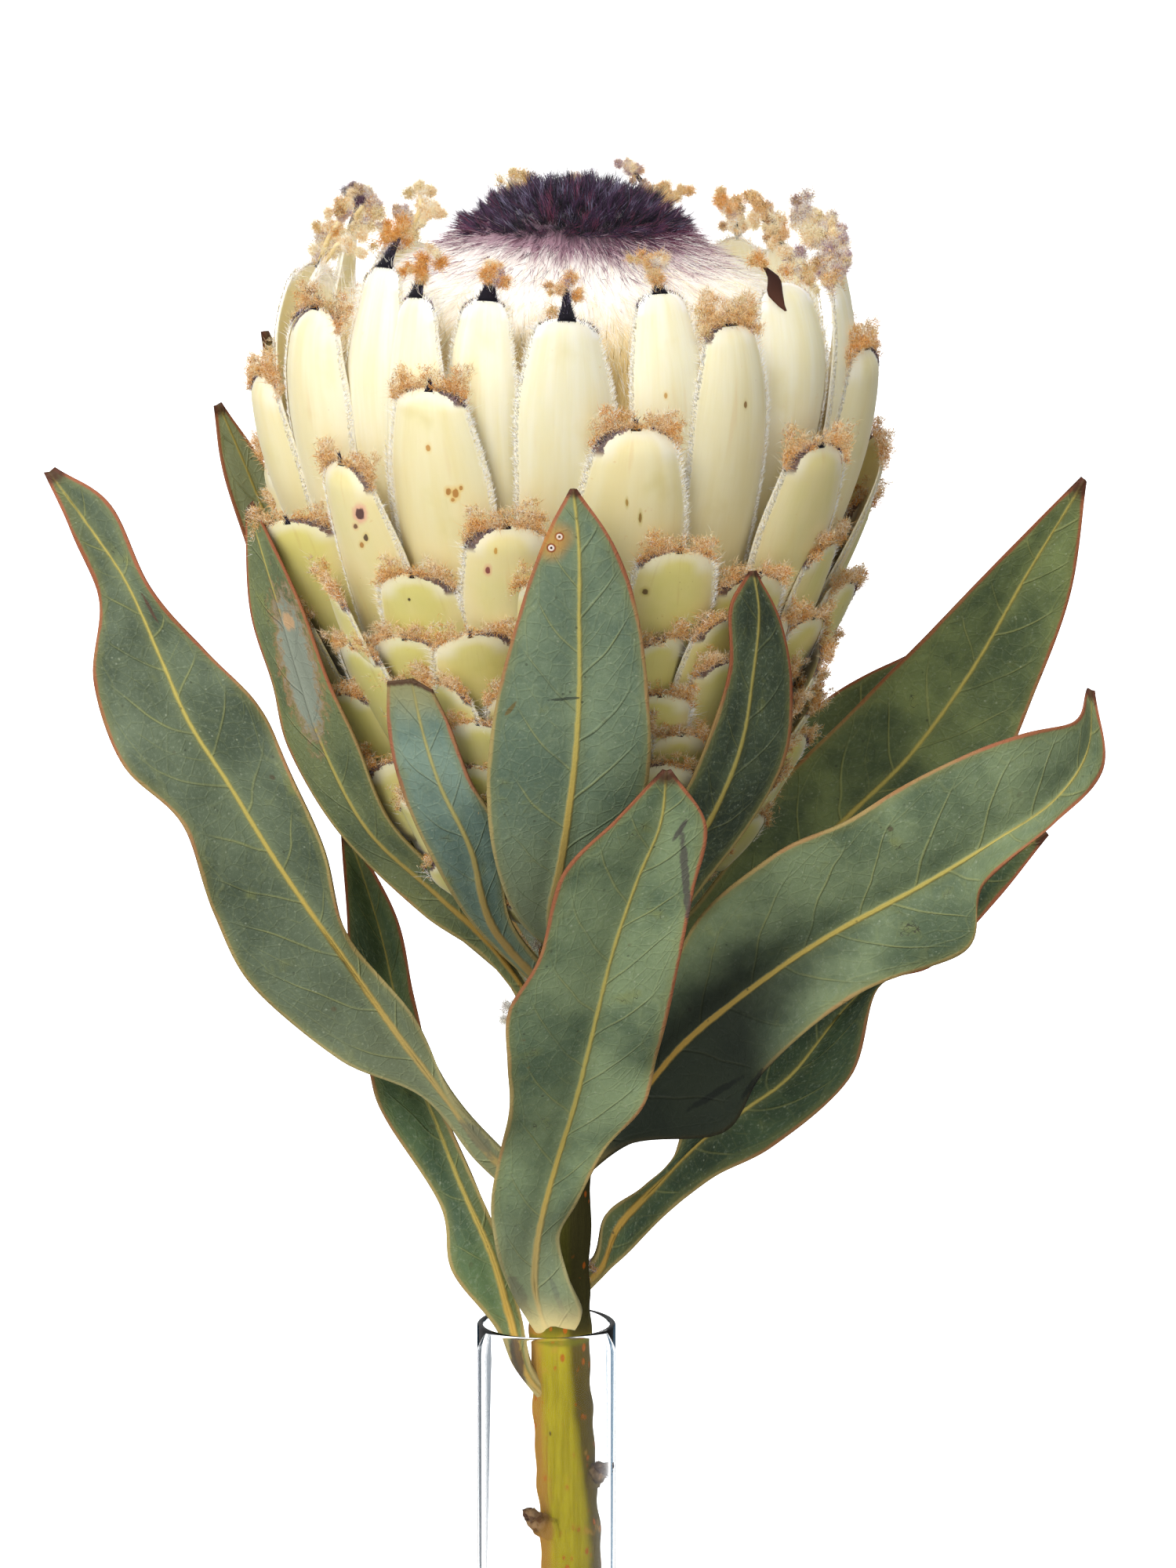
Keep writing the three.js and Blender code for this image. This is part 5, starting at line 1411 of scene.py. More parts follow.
# Each leaf from its base on the stem to its tip: the midrib's points, and where its left and right
# edges lie as seen from the front. The other values say how the blade turns, folds and waves in depth.
LEAVES = {
    "leaf_left_large": {
        "rib": [
            (3, 1, 148), (-10, -3, 162), (-18, -6, 173), (-27, -9, 186), (-37, -11, 201), (-47, -12, 216),
            (-56, -12, 231), (-63, -11, 242), (-68, -9, 253), (-74, -6, 266), (-81, -3, 276), (-88, 0, 285),
        ],
        "left": [
            (2, 147), (-12, 160), (-22, 173), (-37, 181), (-52, 194), (-59, 208),
            (-64, 224), (-75, 235), (-80, 249), (-79, 263), (-84, 275), (-89, 285),
        ],
        "right": [
            (4, 150), (-9, 164), (-17, 174), (-24, 189), (-35, 203), (-39, 220),
            (-45, 234), (-51, 246), (-60, 255), (-70, 266), (-77, 280), (-87, 286),
        ],
        "slope": (-0.2, -0.1), "fold": 0.25, "ruffle": 2.4, "waves": 3, "phase": 0.1,
    },
    "leaf_left_low": {
        "rib": [
            (2, 0, 114), (-4, -2, 122), (-6.5, -2, 131), (-10, -1, 143), (-15, 2, 154),
            (-20, 5, 166), (-24, 8, 175), (-27, 11, 186), (-30, 13, 199), (-36, 15, 218),
        ],
        "left": [
            (1, 113), (-5.6, 122), (-9.3, 130), (-17, 140), (-19, 151),
            (-29, 167), (-32, 176), (-35, 190), (-36, 205), (-37, 217),
        ],
        "right": [
            (3, 115), (-2.4, 122), (-4.6, 132), (-8, 144), (-13, 156),
            (-18, 167), (-21, 176), (-24, 188), (-27, 202), (-35.5, 218),
        ],
        "slope": (0, 0.2), "fold": 0.15, "ruffle": 1, "waves": 2, "phase": 0.4,
    },
    "leaf_left_hugging": {
        "rib": [
            (3, 0, 178), (-9, -9, 200), (-19, -16, 212), (-31, -23, 225),
            (-39, -26, 241), (-43, -25, 253), (-47, -22, 266), (-52, -18, 282),
        ],
        "left": [
            (3, 176), (-9, 197), (-22, 208), (-36, 223), (-45, 238), (-48, 250), (-52, 263), (-52.6, 281),
        ],
        "right": [
            (3, 180), (-9, 202.6), (-16, 214), (-27, 227), (-33, 243), (-38, 254), (-43, 267), (-51.4, 283),
        ],
        "slope": (-0.6, -1.9), "fold": 0, "ruffle": 0.8, "waves": 2, "phase": 0,
    },
    "leaf_left_small": {
        "rib": [
            (3, -1, 190), (-9, -19, 206.5), (-13, -34, 224),
            (-18, -40, 236), (-21, -43, 246), (-23, -45, 256),
        ],
        "left": [(1.4, 189.5), (-12, 206), (-20, 222), (-25, 235), (-27.2, 246), (-27.3, 255.2)],
        "right": [(4.6, 190.5), (-6, 208), (-8, 227), (-13, 238), (-16.5, 248), (-19.5, 254.5)],
        "slope": (-0.3, -0.6), "fold": 0.1, "ruffle": 0.5, "waves": 2, "phase": 0.2,
    },
    "leaf_front_centre": {
        "rib": [
            (3.6, -1, 198), (1, -26, 210), (3, -40, 224), (5, -48, 240),
            (6, -53, 255), (6, -57, 269), (6, -60, 281), (5, -61, 292),
        ],
        "left": [(2, 198), (-5, 210), (-9, 224), (-10, 239), (-8, 255), (-4, 271), (0, 283), (4.4, 292)],
        "right": [(5, 198), (9, 209), (14, 224), (18, 239), (18, 254), (16, 270), (12, 282), (5.6, 292)],
        "slope": (0, 0), "fold": -0.06, "ruffle": 0.7, "waves": 2, "phase": 0.3,
    },
    "leaf_front_low": {
        "rib": [
            (1, -1, 127.5), (-1.4, -5, 134.4), (-2.1, -9, 140.9), (-1.5, -13, 148.5), (-0.1, -17, 156.1),
            (2.6, -21.5, 166.8), (5.2, -27.5, 176.8), (7.2, -32.5, 186), (9.5, -38, 197), (12, -43, 208),
            (16, -48, 221), (20, -53, 232), (21, -57, 242),
        ],
        "left": [
            (-1.5, 128.4), (-3.9, 132.6), (-7.2, 140.4), (-9.2, 148.8),
            (-9.7, 157.2), (-8, 167.3), (-6.3, 176.8),
            (-6.6, 186), (-6.5, 196), (-1, 207), (3, 223), (12, 233), (20.4, 242.4),
        ],
        "right": [
            (4.4, 128), (6.4, 133.6), (4, 140.9), (2.4, 149), (5.4, 156), (10.5, 167.5), (17.4, 177),
            (19.5, 186), (21.6, 195.5), (24, 209), (26, 220), (28, 232), (21.8, 242.4),
        ],
        "slope": (0, 0.1), "fold": 0.25, "ruffle": 2, "waves": 3, "phase": 0.2,
    },
    "leaf_right_hugging": {
        "rib": [
            (4, -1, 183), (15, -21, 205), (22, -32, 218), (29, -36, 230),
            (34, -39, 243), (36, -42, 256), (37, -44, 267), (36, -45, 275),
        ],
        "left": [(2, 185), (12, 208), (17, 222), (24, 234), (29, 247), (32, 258), (32, 269), (35.4, 275)],
        "right": [(6, 182), (19, 202), (27, 215), (36, 228), (42, 240), (43, 253), (41, 265), (36.6, 275)],
        "slope": (0.5, 0.9), "fold": -0.06, "ruffle": 0.7, "waves": 2, "phase": 0.5,
    },
    "leaf_right_upper": {
        "rib": [
            (4, 1, 179), (19, 6, 190), (31, 11, 199), (44, 15, 210), (56, 18, 221),
            (66, 19, 231), (77, 18, 247), (86, 15, 264), (96, 10, 282),
        ],
        "left": [
            (2, 181), (15, 194), (26, 204), (36, 217), (44, 228),
            (55, 239), (67, 252), (79, 265), (95.4, 282.6),
        ],
        "right": [
            (6, 177), (23, 186), (39, 193), (55, 203), (70, 215),
            (81, 227), (88, 243), (94, 261), (96.4, 281.6),
        ],
        "slope": (0.1, 0.1), "fold": 0.2, "ruffle": 2, "waves": 2, "phase": 0.1,
    },
    "leaf_right_front": {
        "rib": [
            (4, 1, 157), (14, -8, 170), (24, -14, 184), (37, -19, 196), (50, -23, 206),
            (65, -26, 215), (79, -28, 224), (89, -28, 231), (95, -24, 239), (96, -18, 249),
        ],
        "left": [
            (2, 159), (10, 177), (20, 193), (27, 209), (40, 222),
            (54, 229), (69, 238), (83, 244), (93, 245), (95.5, 249.5),
        ],
        "right": [
            (5, 155), (15, 165), (32, 169), (39, 182), (55, 196),
            (74, 204), (77, 217), (89, 227), (98, 236), (96.8, 249),
        ],
        "slope": (0.1, 0.1), "fold": 0.25, "ruffle": 2.2, "waves": 3, "phase": 0.35,
    },
    "leaf_right_low": {
        "rib": [
            (3, 1, 134), (9.3, 2, 139.4), (13.1, 4, 146.9),
            (19.6, 8, 153.2), (27.8, 11, 161), (36, 13, 166.5),
            (44, 15, 172), (54, 17, 184), (66, 18, 196), (78, 17, 208), (90, 14, 217),
        ],
        "left": [
            (1, 136), (8.4, 141.5), (10.6, 149), (17.2, 152.9), (22.6, 157.5), (26, 168),
            (34, 183), (46, 193), (60, 206), (75, 214), (89.4, 217.6),
        ],
        "right": [
            (5, 132.6), (10.4, 138.3), (14.8, 142), (22, 148.5), (30, 154.5), (41, 160),
            (55, 172), (60, 188), (70, 192), (81, 204), (90.4, 216.6),
        ],
        "slope": (0.1, 0.1), "fold": 0.2, "ruffle": 1.4, "waves": 2, "phase": 0.6,
    },
    "leaf_back_left": {
        "rib": [
            (3, 2, 187), (-10, 14, 198), (-24, 24, 210), (-33, 30, 223), (-40, 33, 237),
            (-45, 34, 251), (-49, 33, 266), (-54, 30, 280), (-59, 26, 293),
        ],
        "left": [
            (2, 185), (-12, 195), (-27, 206), (-40, 220), (-46, 234),
            (-49, 248), (-53, 264), (-58, 281), (-59.6, 293),
        ],
        "right": [
            (4, 189), (-7, 200), (-19, 213), (-28, 226), (-34, 240),
            (-39, 253), (-44, 268), (-51, 281), (-58.4, 293.4),
        ],
        "slope": (0.8, 1.2), "fold": 0.1, "ruffle": 1.2, "waves": 2, "phase": 0.3,
    },
    "leaf_back_tall": {
        "rib": [
            (4, 3, 184), (-5, 30, 194), (-15, 45, 208), (-24, 52, 226),
            (-32, 54, 245), (-39, 52, 264), (-45, 48, 283), (-51, 42, 304),
        ],
        "left": [
            (2, 184), (-10, 194), (-21, 208), (-31, 225),
            (-38, 244), (-45, 263), (-49, 284), (-51.6, 304),
        ],
        "right": [
            (5, 183), (-1, 194), (-9, 209), (-17, 226),
            (-25, 245), (-33, 264), (-40, 283), (-50.4, 304),
        ],
        "slope": (0.6, 1), "fold": 0, "ruffle": 1, "waves": 2, "phase": 0.7,
    },
    "leaf_back_right": {
        "rib": [
            (4, 3, 174), (16, 26, 184), (28, 44, 195), (38, 54, 206),
            (48, 58, 219), (58, 58, 231), (67, 54, 242),
        ],
        "left": [(2, 175), (12, 188), (22, 198), (31, 210), (41, 223), (53, 234), (66.4, 242.4)],
        "right": [(6, 172), (21, 182), (34, 193), (45, 203), (55, 216), (63, 229), (67.6, 241.6)],
        "slope": (-0.6, -0.8), "fold": 0.1, "ruffle": 1.5, "waves": 2, "phase": 0.2,
    },
    "leaf_back_low": {
        "rib": [
            (3, 3, 165), (5, 30, 173), (7, 50, 184), (8, 62, 196),
            (8, 68, 211), (6, 70, 227), (6, 70, 240),
        ],
        "left": [(1, 165), (0, 174), (-2, 184), (-3, 197), (-2, 212), (0, 227), (5.4, 240)],
        "right": [(5, 165), (11, 173), (17, 183), (19, 195), (18, 210), (13, 226), (6.6, 240)],
        "slope": (0, 0), "fold": -0.1, "ruffle": 1.2, "waves": 2, "phase": 0.5,
    },
}

# Each leaf's lighter and darker green, and how clearly its veins show.
LEAF_LOOKS = {
    "leaf_left_large": ("667259", "434f3c", 0.8),
    "leaf_left_low": ("5c724a", "40543a", 0.6),
    "leaf_left_hugging": ("707850", "505c40", 0.35),
    "leaf_left_small": ("7e9484", "5e7468", 0.25),
    "leaf_front_centre": ("7a8a6c", "5c6e5a", 0.7),
    "leaf_front_low": ("80906a", "54664c", 0.7),
    "leaf_right_hugging": ("48543e", "303a2c", 0.3),
    "leaf_right_upper": ("7c8854", "485638", 0.85),
    "leaf_right_front": ("7c8b66", "526248", 0.8),
    # leaf_right_low's greens are darkened as painted shade on its upper side.
    "leaf_right_low": ("465a3c", "2c3c28", 0.6),
    # leaf_back_left's greens are lightened as painted light, to offset the shade it lies in.
    "leaf_back_left": ("9ca886", "7c8a6a", 0.8),
    "leaf_back_tall": ("8e9a78", "66745a", 0.8),
    "leaf_back_right": ("5e6a46", "3e4c30", 0.9),
    "leaf_back_low": ("626c4a", "445236", 0.9),
}
# Dark and brown scars, with two patches of painted shadow: the leaf, the patch's middle x and z, its
# direction, half length and width, and colour.
SCARS_AND_SHADOWS = [
    ("leaf_left_large", -12.1, 165.0, (0.62, -0.78), 4.6, 1.3, "4a3434"),
    ("leaf_left_large", -70.0, 262.0, (0.5, -0.86), 2.4, 0.3, "5a4034"),
    ("leaf_left_low", -5.2, 123.5, (0.25, -0.97), 4.5, 1.0, "3a2820"),
    ("leaf_left_hugging", -43.2, 254.6, (0.22, -0.975), 13.6, 3.5, "a8703e"),
    ("leaf_left_hugging", -43.2, 254.6, (0.22, -0.975), 12.6, 3.0, "7f9083"),
    ("leaf_left_hugging", -45.0, 262.6, (0.3, -0.95), 1.6, 1.0, "c09a70"),
    ("leaf_front_low", -4.9, 137.0, (0.35, -0.94), 4.6, 1.2, "40302e"),
    ("leaf_front_low", 1.9, 137.0, (0.3, -0.95), 4.2, 0.5, "46504a"),
    ("leaf_front_low", 3.9, 132.4, (0.9, 0.4), 1.5, 0.9, "3a4038"),
    ("leaf_front_low", 24.4, 222.0, (0.08, -1.0), 9.5, 0.7, "54504a"),
    ("leaf_front_low", 23.4, 231.0, (0.5, 0.86), 2.4, 0.4, "4e4a44"),
    ("leaf_front_centre", 3.4, 254.0, (1.0, 0.08), 2.6, 0.25, "3c4438"),
    ("leaf_front_centre", -5.8, 252.0, (0.6, 0.8), 1.8, 0.35, "6a5a30"),
    # These two on leaf_right_front are painted shadow, cast on its base by leaf_front_low and the head.
    ("leaf_right_front", 30.0, 176.0, (0.8, 0.6), 6.0, 0.6, "1c1a16"),
    ("leaf_right_front", 36.5, 178.5, (0.5, 0.86), 4.0, 0.5, "1c1a16"),
]
# How far apart the side veins leave the midrib.
VEIN_SPACING = 12.0


def leaf_veins(paint, along, across, half, share, s, shifted):
    """Masks for the midrib and its glow, the side veins, the loops near the margin and the fine net."""
    b = abs(across)
    right = paint.ramp_up(across, -0.01, 0.01)
    wobble = paint.noise(shifted, 16.0, 1.5)
    climb = b * 0.85 + b * b / paint.math("MAXIMUM", half, 2.0) * 0.5
    phase = (along - climb) / VEIN_SPACING + right * 0.43 + (wobble - 0.5) * 0.5
    saw = abs(paint.math("FRACT", phase) - 0.5) * VEIN_SPACING
    rough = (paint.noise(shifted, 2.2, 3.0) - 0.5) * 0.35
    rib_half = 0.2 + (1.0 - s) * (1.0 - s) * 0.8 + rough
    off_rib = paint.ramp_up(b - rib_half, -0.1, 0.4)
    vein = paint.ramp_up(saw, 0.5, 0.08) * paint.ramp_up(share, 0.88, 0.55) * off_rib
    wave = paint.math("COSINE", phase * (2 * math.pi))
    loop_way = abs(share - 0.8 - wave * 0.07) * half
    loop = paint.ramp_up(loop_way, 0.38, 0.08) * paint.ramp_up(half, 2.5, 6.0) * 0.6
    second = abs(paint.math("FRACT", phase * 2.0 + 0.5) - 0.5) * (VEIN_SPACING / 2)
    minor = paint.ramp_up(second, 0.3, 0.05) * paint.ramp_up(paint.noise(shifted, 7.0), 0.45, 0.62) * off_rib
    net = paint.ramp_up(paint.cells(shifted, 2.6, "DISTANCE_TO_EDGE"), 0.2, 0.03) * off_rib
    midrib = paint.ramp_up(b - rib_half, 0.35, -0.2)
    glow = paint.ramp_up(b - rib_half, 1.8, 0.0)
    return midrib, glow, vein, loop, minor, net


def leaf_paint(name, light, dark, veining, seed):
    """A leathery grey-green blade with yellow veins, a tan-red margin, specks, blotches and scratches."""
    paint = Paint(name)
    along, across, half = paint.marks("mark_a")
    share, s, side = paint.marks("mark_b")
    where = paint.place()
    shifted = paint.vector(along, across, side * 7.0 + seed * 13.0)
    midrib, glow, vein, loop, minor, net = leaf_veins(paint, along, across, half, share, s, shifted)

    cloud = paint.noise(where, 18.0, 4.0, 0.6)
    paint.colour = paint.mix(paint.ramp_up(cloud, 0.33, 0.67), dark, light)
    grain = paint.noise(shifted, 0.7, 3.0, 0.75)
    paint.over(paint.ramp_up(grain, 0.5, 0.8) * 0.4, "9aa58c")
    paint.over(paint.ramp_up(grain, 0.45, 0.25) * 0.3, "46553a")
    blotch = paint.ramp_up(paint.noise(shifted, 8.0, 3.0, 0.6), 0.6, 0.76)
    paint.over(blotch * 0.4, "868a48")
    rust = paint.ramp_up(paint.noise(shifted, 4.5, 5.0, 0.7), 0.69, 0.78)
    paint.over(rust * 0.5, "6f5630")
    patches = paint.ramp_up(paint.noise(shifted, 5.0), 0.45, 0.62)
    pale = paint.ramp_up(paint.cells(shifted, 1.3), 0.26, 0.1) * patches
    paint.over(pale * 0.35, "b4bba2")
    paint.over(net * 0.05, "a3a765")
    fade = paint.ramp_up(paint.noise(shifted, 11.0, 2.0), 0.32, 0.58)
    finest = paint.math("MAXIMUM", loop * 0.25, minor * 0.18)
    lines = paint.math("MAXIMUM", vein * 0.5, finest) * (0.25 + fade * 0.75)
    paint.over(lines * veining, "a5a765")
    paint.over(glow * (0.3 * veining), "8f9256")
    rib_colour = paint.mix(paint.ramp_up(s, 0.05, 0.6), "c8963a", "bfae58")
    paint.over(midrib * mix(0.55, 1.0, veining), rib_colour)
    patches = paint.ramp_up(paint.noise(shifted, 10.0), 0.42, 0.6)
    dots = paint.ramp_up(paint.cells(shifted, 2.7), 0.34, 0.16) * patches
    paint.over(dots * 0.65, "3a4030")
    patches = paint.ramp_up(paint.noise(shifted, 20.0), 0.5, 0.62)
    large = paint.ramp_up(paint.cells(shifted, 9.0), 0.75, 0.35) * patches
    paint.over(large * 0.7, "4a3a26")
    scratch_way = paint.vector(along * 0.09 + across * 0.42, across * 0.14 - along * 0.3, side + seed)
    scratch = paint.ramp_up(abs(paint.noise(scratch_way, 1.0, 2.0) - 0.5), 0.012, 0.003)
    scratch = scratch * paint.ramp_up(paint.noise(shifted, 8.0, 2.0), 0.64, 0.7)
    paint.over(scratch * 0.75, "33302a")
    rim = (1.0 - share) * half + (paint.noise(shifted, 5.0, 3.0) - 0.5) * 0.7
    edge = paint.ramp_up(rim, 0.85, 0.35)
    redness = paint.ramp_up(s + (cloud - 0.5) * 1.1, 0.35, 0.85)
    edge_colour = paint.mix(redness, "a8935a", "a3583a")
    paint.over(paint.ramp_up(rim, 2.4, 0.5) * 0.35, "87864a")
    paint.over(edge * 0.85, edge_colour)
    if name == "leaf_front_centre":
        eye_spots(paint)
    x, _, z = paint.split(where)
    uneven = (paint.noise(shifted, 1.6, 3.0, 0.7) - 0.5) * 1.6
    # Scars, and the painted shadow on leaf_right_front, from the table above.
    for leaf_name, patch_x, patch_z, way, long, wide, patch_colour in SCARS_AND_SHADOWS:
        if leaf_name == name:
            dx = x - patch_x
            dz = z - patch_z
            down = (dx * way[0] + dz * way[1]) / long
            aside = (dx * way[1] - dz * way[0]) / wide
            far = paint.math("SQRT", down * down + aside * aside) + uneven
            paint.over(paint.ramp_up(far, 1.25, 0.7) * 0.85, patch_colour)
    # Painted shade on leaf_right_front: dark in the fold's valley beside the midrib over its lower part, and
    # on the lower lobe below the midrib near the base.
    if name == "leaf_right_front":
        low_part = paint.ramp_up(s + (cloud - 0.5) * 0.1, 0.5, 0.3)
        valley = paint.ramp_up(abs(across) + (cloud - 0.5) * 6.0, 17.0, 3.0)
        under = paint.ramp_up(across, 0.4, 2.0) * paint.ramp_up(s, 0.42, 0.3)
        paint.over(paint.math("MAXIMUM", low_part * valley, under) * (1.0 - midrib * 0.6) * 0.93, "0e160e")
    # Painted light: the lower parts of these three leaves are lightened to offset the shade that falls there.
    if name in ("leaf_front_centre", "leaf_front_low", "leaf_left_large"):
        paint.over(paint.ramp_up(s + (cloud - 0.5) * 0.2, 0.4, 0.12) * 0.4, "a8b088")
    if name == "leaf_left_small":
        paint.over(paint.ramp_up(s + (cloud - 0.5) * 0.3, 0.78, 1.0) * 0.75, "98905c")
    tip = paint.ramp_up(s + (grain - 0.5) * 0.02, 0.972, 0.99)
    paint.over(tip * 0.9, "4a2a1c")
    # The beige leaf base. leaf_front_low's is made paler as painted light, to offset the shade on it.
    base_end = 0.14 if name == "leaf_front_low" else 0.1
    base_colour = "d8c488" if name == "leaf_front_low" else "a8965a"
    paint.over(paint.ramp_up(s + (cloud - 0.5) * 0.06, base_end, 0.02) * 0.85, base_colour)
    height = midrib * 0.3 + vein * 0.2 + loop * 0.1 + net * 0.05 - grain * 0.12 + minor * 0.06
    normal = paint.bump(height, 0.8)
    roughness = 0.5 + cloud * 0.18
    return paint.finish(paint.colour, roughness, normal, Specular_IOR_Level=0.25)


def eye_spots(paint):
    """Two small pale spots with dark centres in an orange patch, near the front leaf's tip."""
    x, _, z = paint.split(paint.place())
    for spot_x, spot_z in ((2.6, 283.6), (1.2, 281.6)):
        far = paint.math("SQRT", (x - spot_x) * (x - spot_x) + (z - spot_z) * (z - spot_z))
        paint.over(paint.ramp_up(far, 3.6, 0.6) * 0.6, "c08a3c")
        paint.over(paint.ramp_up(far, 0.95, 0.7), "8a4a22")
        paint.over(paint.ramp_up(far, 0.6, 0.45), "e6d8cc")
        paint.over(paint.ramp_up(far, 0.28, 0.18), "3a2018")


def leaf_grid(leaf, rows=120, columns=37):
    """The blade's middle surface with its marks: where each point is along and across it."""
    last = len(leaf["rib"]) - 1
    station = np.linspace(0, last, rows)
    s = (station / last)[:, None]
    rib = curve_through(leaf["rib"], station)
    edges = {-1: curve_through(leaf["left"], station), 1: curve_through(leaf["right"], station)}
    u = np.linspace(-1, 1, columns)
    u = np.sign(u) * np.abs(u) ** 0.9
    share = np.abs(u)[None, :]
    grid = np.zeros((rows, columns, 3))
    half = np.zeros((rows, columns))
    for sign, edge in edges.items():
        pick = u < 0 if sign < 0 else u >= 0
        part = share[:, pick]
        dx = edge[:, :1] - rib[:, :1]
        dz = edge[:, 1:] - rib[:, 2:]
        width = np.hypot(dx, dz)
        wave = np.sin(2 * np.pi * (leaf["waves"] * s + leaf["phase"]) + (0 if sign < 0 else 1.6))
        small = np.sin(2 * np.pi * (leaf["waves"] * 2.7 * s + leaf["phase"] * 3) + (2.1 if sign < 0 else 0.4))
        turned = mix(*leaf["slope"], s) * dx
        swell = np.sin(np.pi * s)
        ruffled = leaf["ruffle"] * wave * swell * part**2 + leaf["ruffle"] * 0.28 * small * swell * part**3
        arch = 0.05 * width * np.sin(np.pi * part)
        depth = turned * part - leaf["fold"] * width * part + ruffled - arch
        grid[:, pick, 0] = rib[:, :1] + dx * part
        grid[:, pick, 1] = rib[:, 1:2] + depth
        grid[:, pick, 2] = rib[:, 2:] + dz * part
        depth_edge = turned - leaf["fold"] * width
        half[:, pick] = np.sqrt(width**2 + depth_edge**2)
    along = np.concatenate([[0], np.cumsum(np.linalg.norm(np.diff(rib, axis=0), axis=1))])[:, None]
    return grid, along * np.ones(columns), half, u, s * np.ones(columns)


def leaf(name, number):
    grid, along, half, u, s = leaf_grid(LEAVES[name])
    sideways = np.gradient(grid, axis=1)
    upwards = np.gradient(grid, axis=0)
    normal = unit(np.cross(sideways, upwards))
    share = np.abs(u)[None, :] * np.ones_like(s)
    across = u[None, :] * half
    blade = mix(2.3, 0.55, smooth(s, 0.0, 0.2)) / 2 * (1 - 0.55 * share**2)
    ridge = mix(1.0, 0.1, smooth(s, 0.0, 0.95)) * np.exp(-((across / mix(1.4, 0.5, s)) ** 2))
    margin = 0.1 * smooth(share, 0.93, 1.0) * smooth(s, 0.05, 0.2)
    sunk = 0.16 * np.exp(-((np.abs(across) - 1.8) ** 2) / 1.2) * smooth(s, 0.1, 0.3)
    front = grid + normal * (blade + ridge * 0.45 + margin - sunk)[..., None]
    back = grid - normal * (blade + ridge + margin)[..., None]
    marks = np.stack([along, across, half, share, s, np.zeros_like(s)], -1)
    marks_back = marks.copy()
    marks_back[..., 5] = 1
    shape = Shape()
    sheet(shape, front, back, marks, marks_back)
    shape.piece(name, leaf_paint(name, *LEAF_LOOKS[name], number), "leaf", name)


for index, leaf_name in enumerate(LEAVES):
    leaf(leaf_name, index)

# ---- the stem ----

# The stem's middle line from the vase's floor to the flower, and its radius at each point.
STEM = [
    (3.4, 0, 12.3), (4.4, 0, 60), (4.4, 0.5, 86), (3.4, 1, 105), (2.7, 1, 121),
    (2.6, 1, 139), (3.1, 1, 164), (3.6, 0.5, 190), (3.6, 0, 203.4),
]
STEM_RADII = [5.3, 5.3, 5.3, 5.3, 5.3, 5.3, 5.0, 4.7, 5.3]
# Two stubs of picked leaves and the dry bud: each one's path and its radii.
STUBS = [
    (
        [(4.4, 0, 99.6), (6.6, -0.9, 100.6), (8.4, -1.5, 101.9), (9.6, -1.8, 103.1), (10.4, -1.9, 104.2)],
        [2.6, 2.4, 1.9, 1.6, 0.9],
    ),
    (
        [(4.2, -1, 91.6), (1.6, -2.4, 92.2), (-0.8, -3.4, 93.2), (-2.4, -4.0, 94.8), (-3.4, -4.2, 96.2)],
        [2.6, 2.5, 2.1, 1.5, 0.9],
    ),
    (
        [(4, 0, 183.6), (0, -0.3, 184.6), (-2.6, -0.4, 185.6), (-4.6, -0.5, 187.0), (-6.0, -0.5, 188.6)],
        [1.3, 1.3, 1.5, 2.0, 0.9],
    ),
]
# Heights of the slight swellings along the stem.
STEM_NODES = [92, 100, 114, 128, 135, 148, 157, 165, 174, 179, 184, 190]


